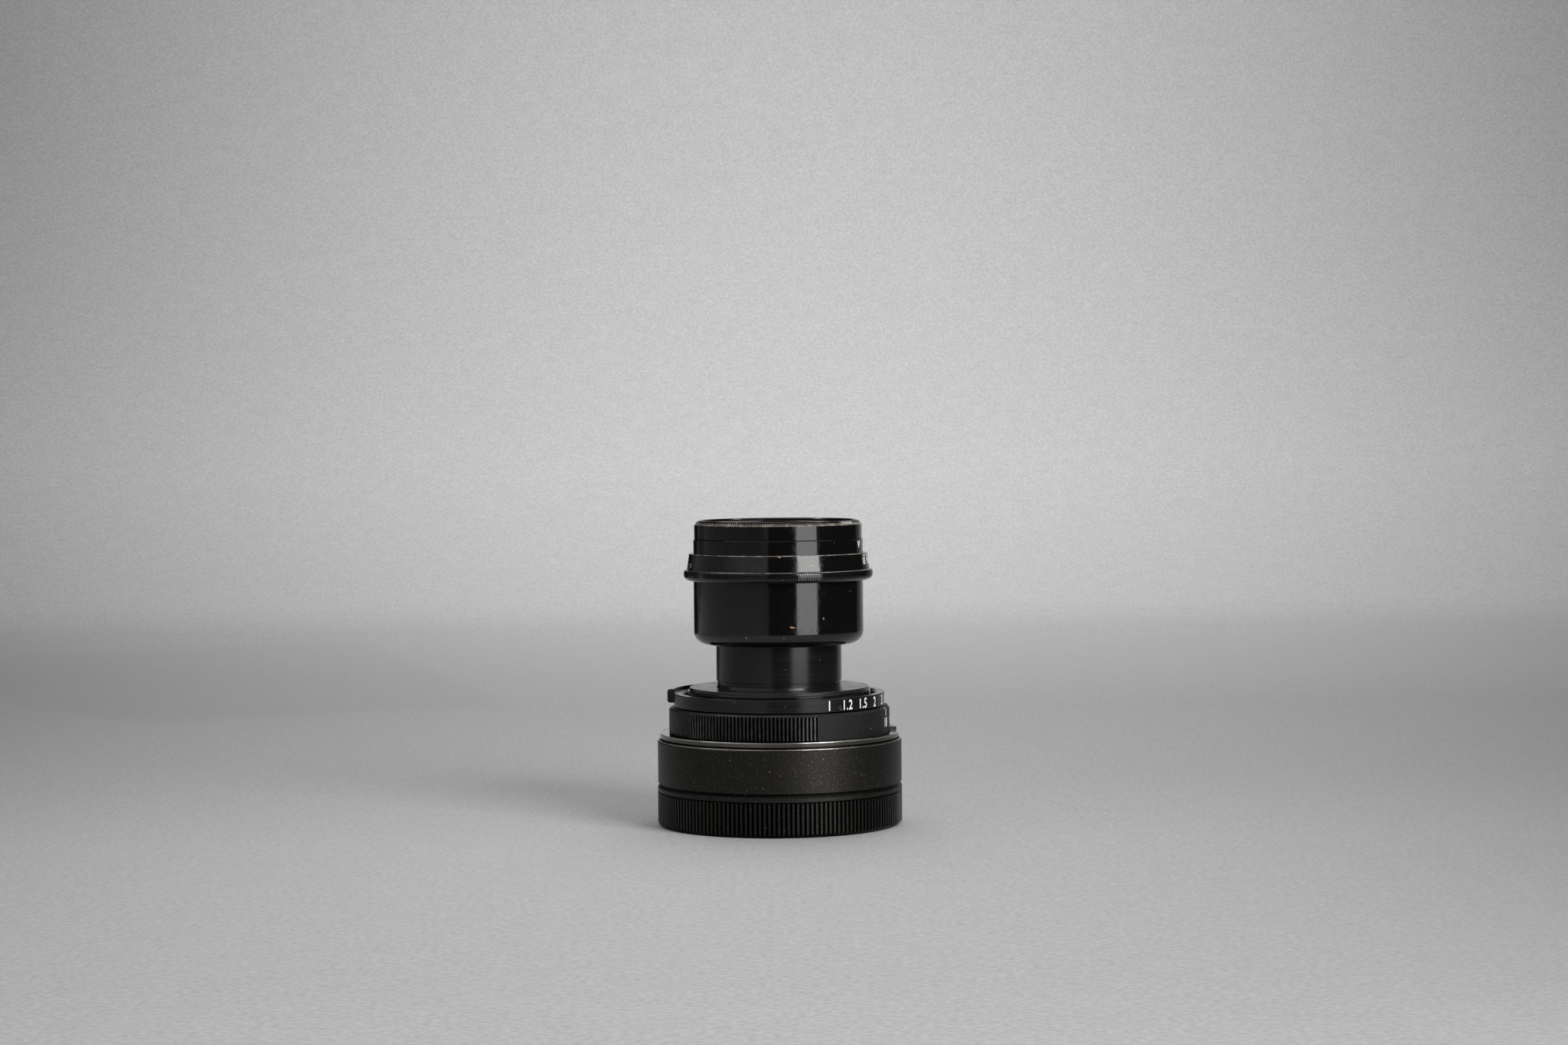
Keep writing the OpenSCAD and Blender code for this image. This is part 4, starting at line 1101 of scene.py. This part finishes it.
class LENS_OT_rim_thread(bpy.types.Operator):
    """Fine filter thread inside the front rim"""
    bl_idname = "lens.rim_thread"
    bl_label = "Rim thread"

    PITCH = 0.5 * MM
    DEPTH = 0.22 * MM
    ROOT = 0.02 * MM  # the thread starts this far inside the wall
    STEPS = 180  # to a turn
    FADE = 20  # steps over which it rises from the wall at each end

    def execute(self, context):
        mount = next(m for m in frame["record"]["mounts"] if m["name"] == "filter_bore")
        radius = mount["dims"]["r_mm"] * MM
        length = mount["dims"]["length_mm"] * MM
        low = mount["pos_m"][2] - length / 2
        count = (length - self.PITCH) / self.PITCH * self.STEPS
        bm = bmesh.new()
        rows = []
        for i in range(int(count) + 1):
            a = 2 * math.pi * i / self.STEPS
            z = low + self.PITCH / 2 + self.PITCH * i / self.STEPS
            out = Vector((math.cos(a), math.sin(a), 0))
            fade = min(1.0, i / self.FADE, (count - i) / self.FADE)
            crest = radius - self.DEPTH * max(fade, 0.05)  # never flat, so that its faces stay
            root = radius + self.ROOT
            rows.append([bm.verts.new(out * r + Vector((0, 0, z + self.PITCH * up)))
                         for r, up in ((root, -0.45), (crest, -0.06), (crest, 0.06), (root, 0.45))])
        join_rows(bm, rows, False)
        new_object("rim_thread", bm, material(gloss_lacquer), "head")
        return {"FINISHED"}


class LENS_OT_edges(bpy.types.Operator):
    """Rounded, polished edges of the adapter and the flange, which catch the light as lines"""
    bl_idname = "lens.edges"
    bl_label = "Edges"

    LINES = (  # name, node, body, slot, then in from its rim, down from its top and radius in mm
        ("adapter_edge", "mount_adapter", "adapter", "anodised_black", 0.29, 0.47, 0.12),
        ("flange_edge", "mount_flange", "mount", "polished_dark", 0.1, 0.1, 0.16))

    def execute(self, context):
        for name, node, body, slot, inward, down, thick in self.LINES:
            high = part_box(node)[1]
            middle_r, middle_z = high.x / MM - inward, high.z / MM - down
            outline = [(middle_r + thick * math.cos(math.radians(a)),
                        middle_z + thick * math.sin(math.radians(a))) for a in range(0, 360, 30)]
            new_object(name, lathe(outline), material(polished_edge), body, smooth=True)
        return {"FINISHED"}


class LENS_OT_scale_walls(bpy.types.Operator):
    """Smooth walls over the ribs beside the depth scale, where the real ring has none"""
    bl_idname = "lens.scale_walls"
    bl_label = "Scale walls"

    SWEEP = 46.0  # length of each wall, in degrees
    START = PANEL_HALF - 0.6  # it overlaps the scale's own panel a little
    STEPS = 184  # to a wall
    BEVEL = 0.45  # as on the ring, in mm
    PROUD = 0.01  # over the crests of the ribs, in mm
    TOP_PROUD = 0.005  # over the ring's top, in mm

    def execute(self, context):
        low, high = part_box("depth_scale_ring")
        rim, foot = high.x / MM + self.PROUD, low.z / MM + 0.05
        top, cover = high.z / MM, high.z / MM + self.TOP_PROUD
        wall = ((rim - 0.5, foot), (rim, foot), (rim, top - self.BEVEL),
                (rim - self.BEVEL, cover), (rim - 0.8, cover))
        for name, turn in (("scale_panel_near", -self.START - self.SWEEP),
                           ("scale_panel_far", self.START)):
            start = math.radians(INDEX - 90 + turn)
            bm = lathe(wall, self.STEPS, start, math.radians(self.SWEEP))
            new_object(name, bm, material(fine_blasted_black_anodising), "mount")
        return {"FINISHED"}


class LENS_OT_wear(bpy.types.Operator):
    """Chips in the lacquer, where the photo shows them and a few more round the back"""
    bl_idname = "lens.wear"
    bl_label = "Wear"

    STANDS = 0.006 * MM  # a chip stands this little over the lacquer, so that it shows
    PIN_STANDS = 0.005 * MM
    PINS = (("lens_barrel", "head", 26), ("aperture_ring", "aperture", 12),
            ("front_cell", "head", 10))
    PIN_SIZES = (0.06, 0.2)  # in mm
    FREE = (6 * MM, 1.2 * MM)  # no pinholes this near the barrel's foot and a node's top
    CHIPS = (  # point, node, body, width and height in mm
        ("chip_ring_edge", "aperture_ring", "aperture", 1.0, 0.5),
        ("chip_ring", "aperture_ring", "aperture", 1.6, 0.5),
        ("chip_bead", "aperture_ring", "aperture", 0.7, 1.0),
        ("chip_barrel", "lens_barrel", "head", 1.4, 0.6),
        ("chip_barrel_foot", "lens_barrel", "head", 0.5, 0.6),
        ("chip_barrel_right", "lens_barrel", "head", 0.45, 0.8))

    def execute(self, context):
        dice = random.Random(7)
        bare = material(bare_brass_in_chips)
        for name, node, body, wide, tall in self.CHIPS:
            tree = surface_of(node)
            point = place(IMAGE_POINTS[name], tree)
            flat = self.flake(dice, wide * MM, tall * MM)
            wrap(flat, tree, angle_of(point), point.z, self.STANDS)
            new_object(name, flat, bare, body)
        for node, body, count in self.PINS:
            tree = surface_of(node)
            low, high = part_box(node)
            low_z = max(low.z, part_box("lens_barrel")[0].z + self.FREE[0])
            group = bmesh.new()
            for _ in range(count):
                angle = dice.uniform(0, 2 * math.pi)
                z = dice.uniform(low_z, high.z - self.FREE[1])
                size = dice.uniform(*self.PIN_SIZES) * MM
                flat = self.flake(dice, size, size * dice.uniform(0.6, 1.6))
                merge(group, wrap(flat, tree, angle, z, self.PIN_STANDS))
            new_object(f"pin_chips_{node}", group, bare, body)
        return {"FINISHED"}

    def flake(self, dice, wide, tall):
        """Flat bmesh of a ragged patch."""
        count = 22
        outline = []
        for i in range(count):
            a = 2 * math.pi * i / count
            k = dice.uniform(0.4, 1.0)
            outline.append((wide / 2 * k * math.cos(a), tall / 2 * k * math.sin(a)))
        return flat_shape(outline)


class LENS_OT_dust(bpy.types.Operator):
    """Specks of dust and lint, over the base and rings most of all"""
    bl_idname = "lens.dust"
    bl_label = "Dust"

    SIZE = 0.04 * MM  # middle radius of a speck
    BAND = (0.15, 0.9)  # shares of a node's height between which they lie
    CARRIERS = (  # node, body and share of all the specks
        ("rear_cap", "cap", 0.2), ("mount_adapter", "adapter", 0.25),
        ("depth_scale_ring", "mount", 0.15), ("focus_ring", "focus", 0.15),
        ("neck_tube", "head", 0.05), ("lens_barrel", "head", 0.2))

    def execute(self, context):
        dice = random.Random(11)
        pale = material(pale_dust)
        for node, body, share in self.CARRIERS:
            tree = surface_of(node)
            low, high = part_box(node)
            group = bmesh.new()
            for _ in range(int(finish().dust_count * share)):
                angle = dice.uniform(0, 2 * math.pi)
                z = low.z + (high.z - low.z) * dice.uniform(*self.BAND)
                hit, normal = towards_axis(tree, angle, z)
                size = self.SIZE * dice.uniform(0.5, 1.5)
                if hit is None or max(abs(hit.x), abs(hit.y)) + size > CAD_BOX[1][0]:
                    continue
                turn = normal.to_track_quat("Z", "Y").to_matrix().to_4x4()
                flat = Matrix.Diagonal((size * dice.uniform(1, 2.2), size, size * 0.5, 1))
                bmesh.ops.create_icosphere(
                    group, subdivisions=1, radius=1.0,
                    matrix=Matrix.Translation(hit) @ turn
                    @ Matrix.Rotation(dice.uniform(0, math.pi), 4, "Z") @ flat)
            new_object(f"dust_{node}", group, pale, body, smooth=True)
        return {"FINISHED"}


class LENS_PT_panel(bpy.types.Panel):
    """Lists the steps that dress the lens"""
    bl_idname = "LENS_PT_panel"
    bl_label = "Prime camera lens"
    bl_space_type = "VIEW_3D"
    bl_region_type = "UI"
    bl_category = "Lens"

    def draw(self, context):
        for settings in (studio(), finish(), scales()):
            box = self.layout.box()
            for name in settings.__annotations__:
                box.prop(settings, name)
        for step in STEPS:
            self.layout.operator(step.bl_idname)


STEPS = (LENS_OT_stage, LENS_OT_base, LENS_OT_mount, LENS_OT_focusing, LENS_OT_neck,
         LENS_OT_head, LENS_OT_glass, LENS_OT_iris, LENS_OT_screws, LENS_OT_distance_scale,
         LENS_OT_depth_scale, LENS_OT_stop_scale, LENS_OT_rim_thread, LENS_OT_edges,
         LENS_OT_scale_walls, LENS_OT_wear, LENS_OT_dust)
CLASSES = (LensStudio, LensFinish, LensScales, LENS_PT_panel) + STEPS


def register():
    for made in CLASSES:
        bpy.utils.register_class(made)
    bpy.types.Scene.lens_studio = PointerProperty(type=LensStudio)
    bpy.types.Scene.lens_finish = PointerProperty(type=LensFinish)
    bpy.types.Scene.lens_scales = PointerProperty(type=LensScales)


def unregister():
    del bpy.types.Scene.lens_scales
    del bpy.types.Scene.lens_finish
    del bpy.types.Scene.lens_studio
    for made in reversed(CLASSES):
        bpy.utils.unregister_class(made)


# ---------------------------------------------------------------------------
# Image points of the finished model


def shown_box(objects, sight, least=0.0):
    """Lowest and highest image x and y of the vertices that show, this far out from the axis."""
    eye = bpy.context.scene.camera.matrix_world.translation
    seen = []
    for thing in objects:
        for v in thing.data.vertices:
            at = thing.matrix_world @ v.co
            way = at - eye
            hit, _, _, far = sight.ray_cast(eye, way.normalized(), way.length - 0.1 * MM)
            if hit is None and at.xy.length >= least:
                seen.append(image_point(at))
    if not seen:
        return None
    xs, ys = [p[0] for p in seen], [p[1] for p in seen]
    return min(xs), max(xs), min(ys), max(ys)


def write_points():
    """Finds where each thing shows in the image, as the middle of what shows of it."""
    sight = surface_of(*NODES)
    whole = shown_box([NODES[n] for n in NODES], sight)
    found = {
        "object_left": (whole[0], None), "object_right": (whole[1], None),
        "object_top": (None, whole[2]), "object_bottom": (None, whole[3]),
        "barrel_left": (shown_box([NODES["lens_barrel"]], sight)[0], None),
        "neck_right": (shown_box([NODES["neck_tube"]], sight)[1], None)}
    things = {"finger_tab": NODES["focus_tab"], "lock_screw": NODES["sleeve_lock_screw"],
              "stop_screw": NODES["aperture_screw"],
              "figure_1": bpy.data.objects["distance_figure_1"],
              "figure_1.5": bpy.data.objects["distance_figure_1.5"],
              "stop_18": bpy.data.objects["stop_figure_18"],
              "stop_pointer": bpy.data.objects["stop_pointer"],
              "depth_line": bpy.data.objects["depth_line_18"]}
    for name in IMAGE_POINTS:
        if name.startswith("chip_"):
            things[name] = bpy.data.objects[name]
    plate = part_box("focus_ring")[1].x + 0.8 * MM  # the tab's finger plate begins this far out
    for name, thing in things.items():
        box = shown_box([thing], sight, plate if name == "finger_tab" else 0.0)
        if box:
            found[name] = ((box[0] + box[1]) / 2, (box[2] + box[3]) / 2)


def main():
    register()
    for step in STEPS:
        family, name = step.bl_idname.split(".")
        getattr(getattr(bpy.ops, family), name)()
    write_points()


if __name__ == "__main__":
    main()
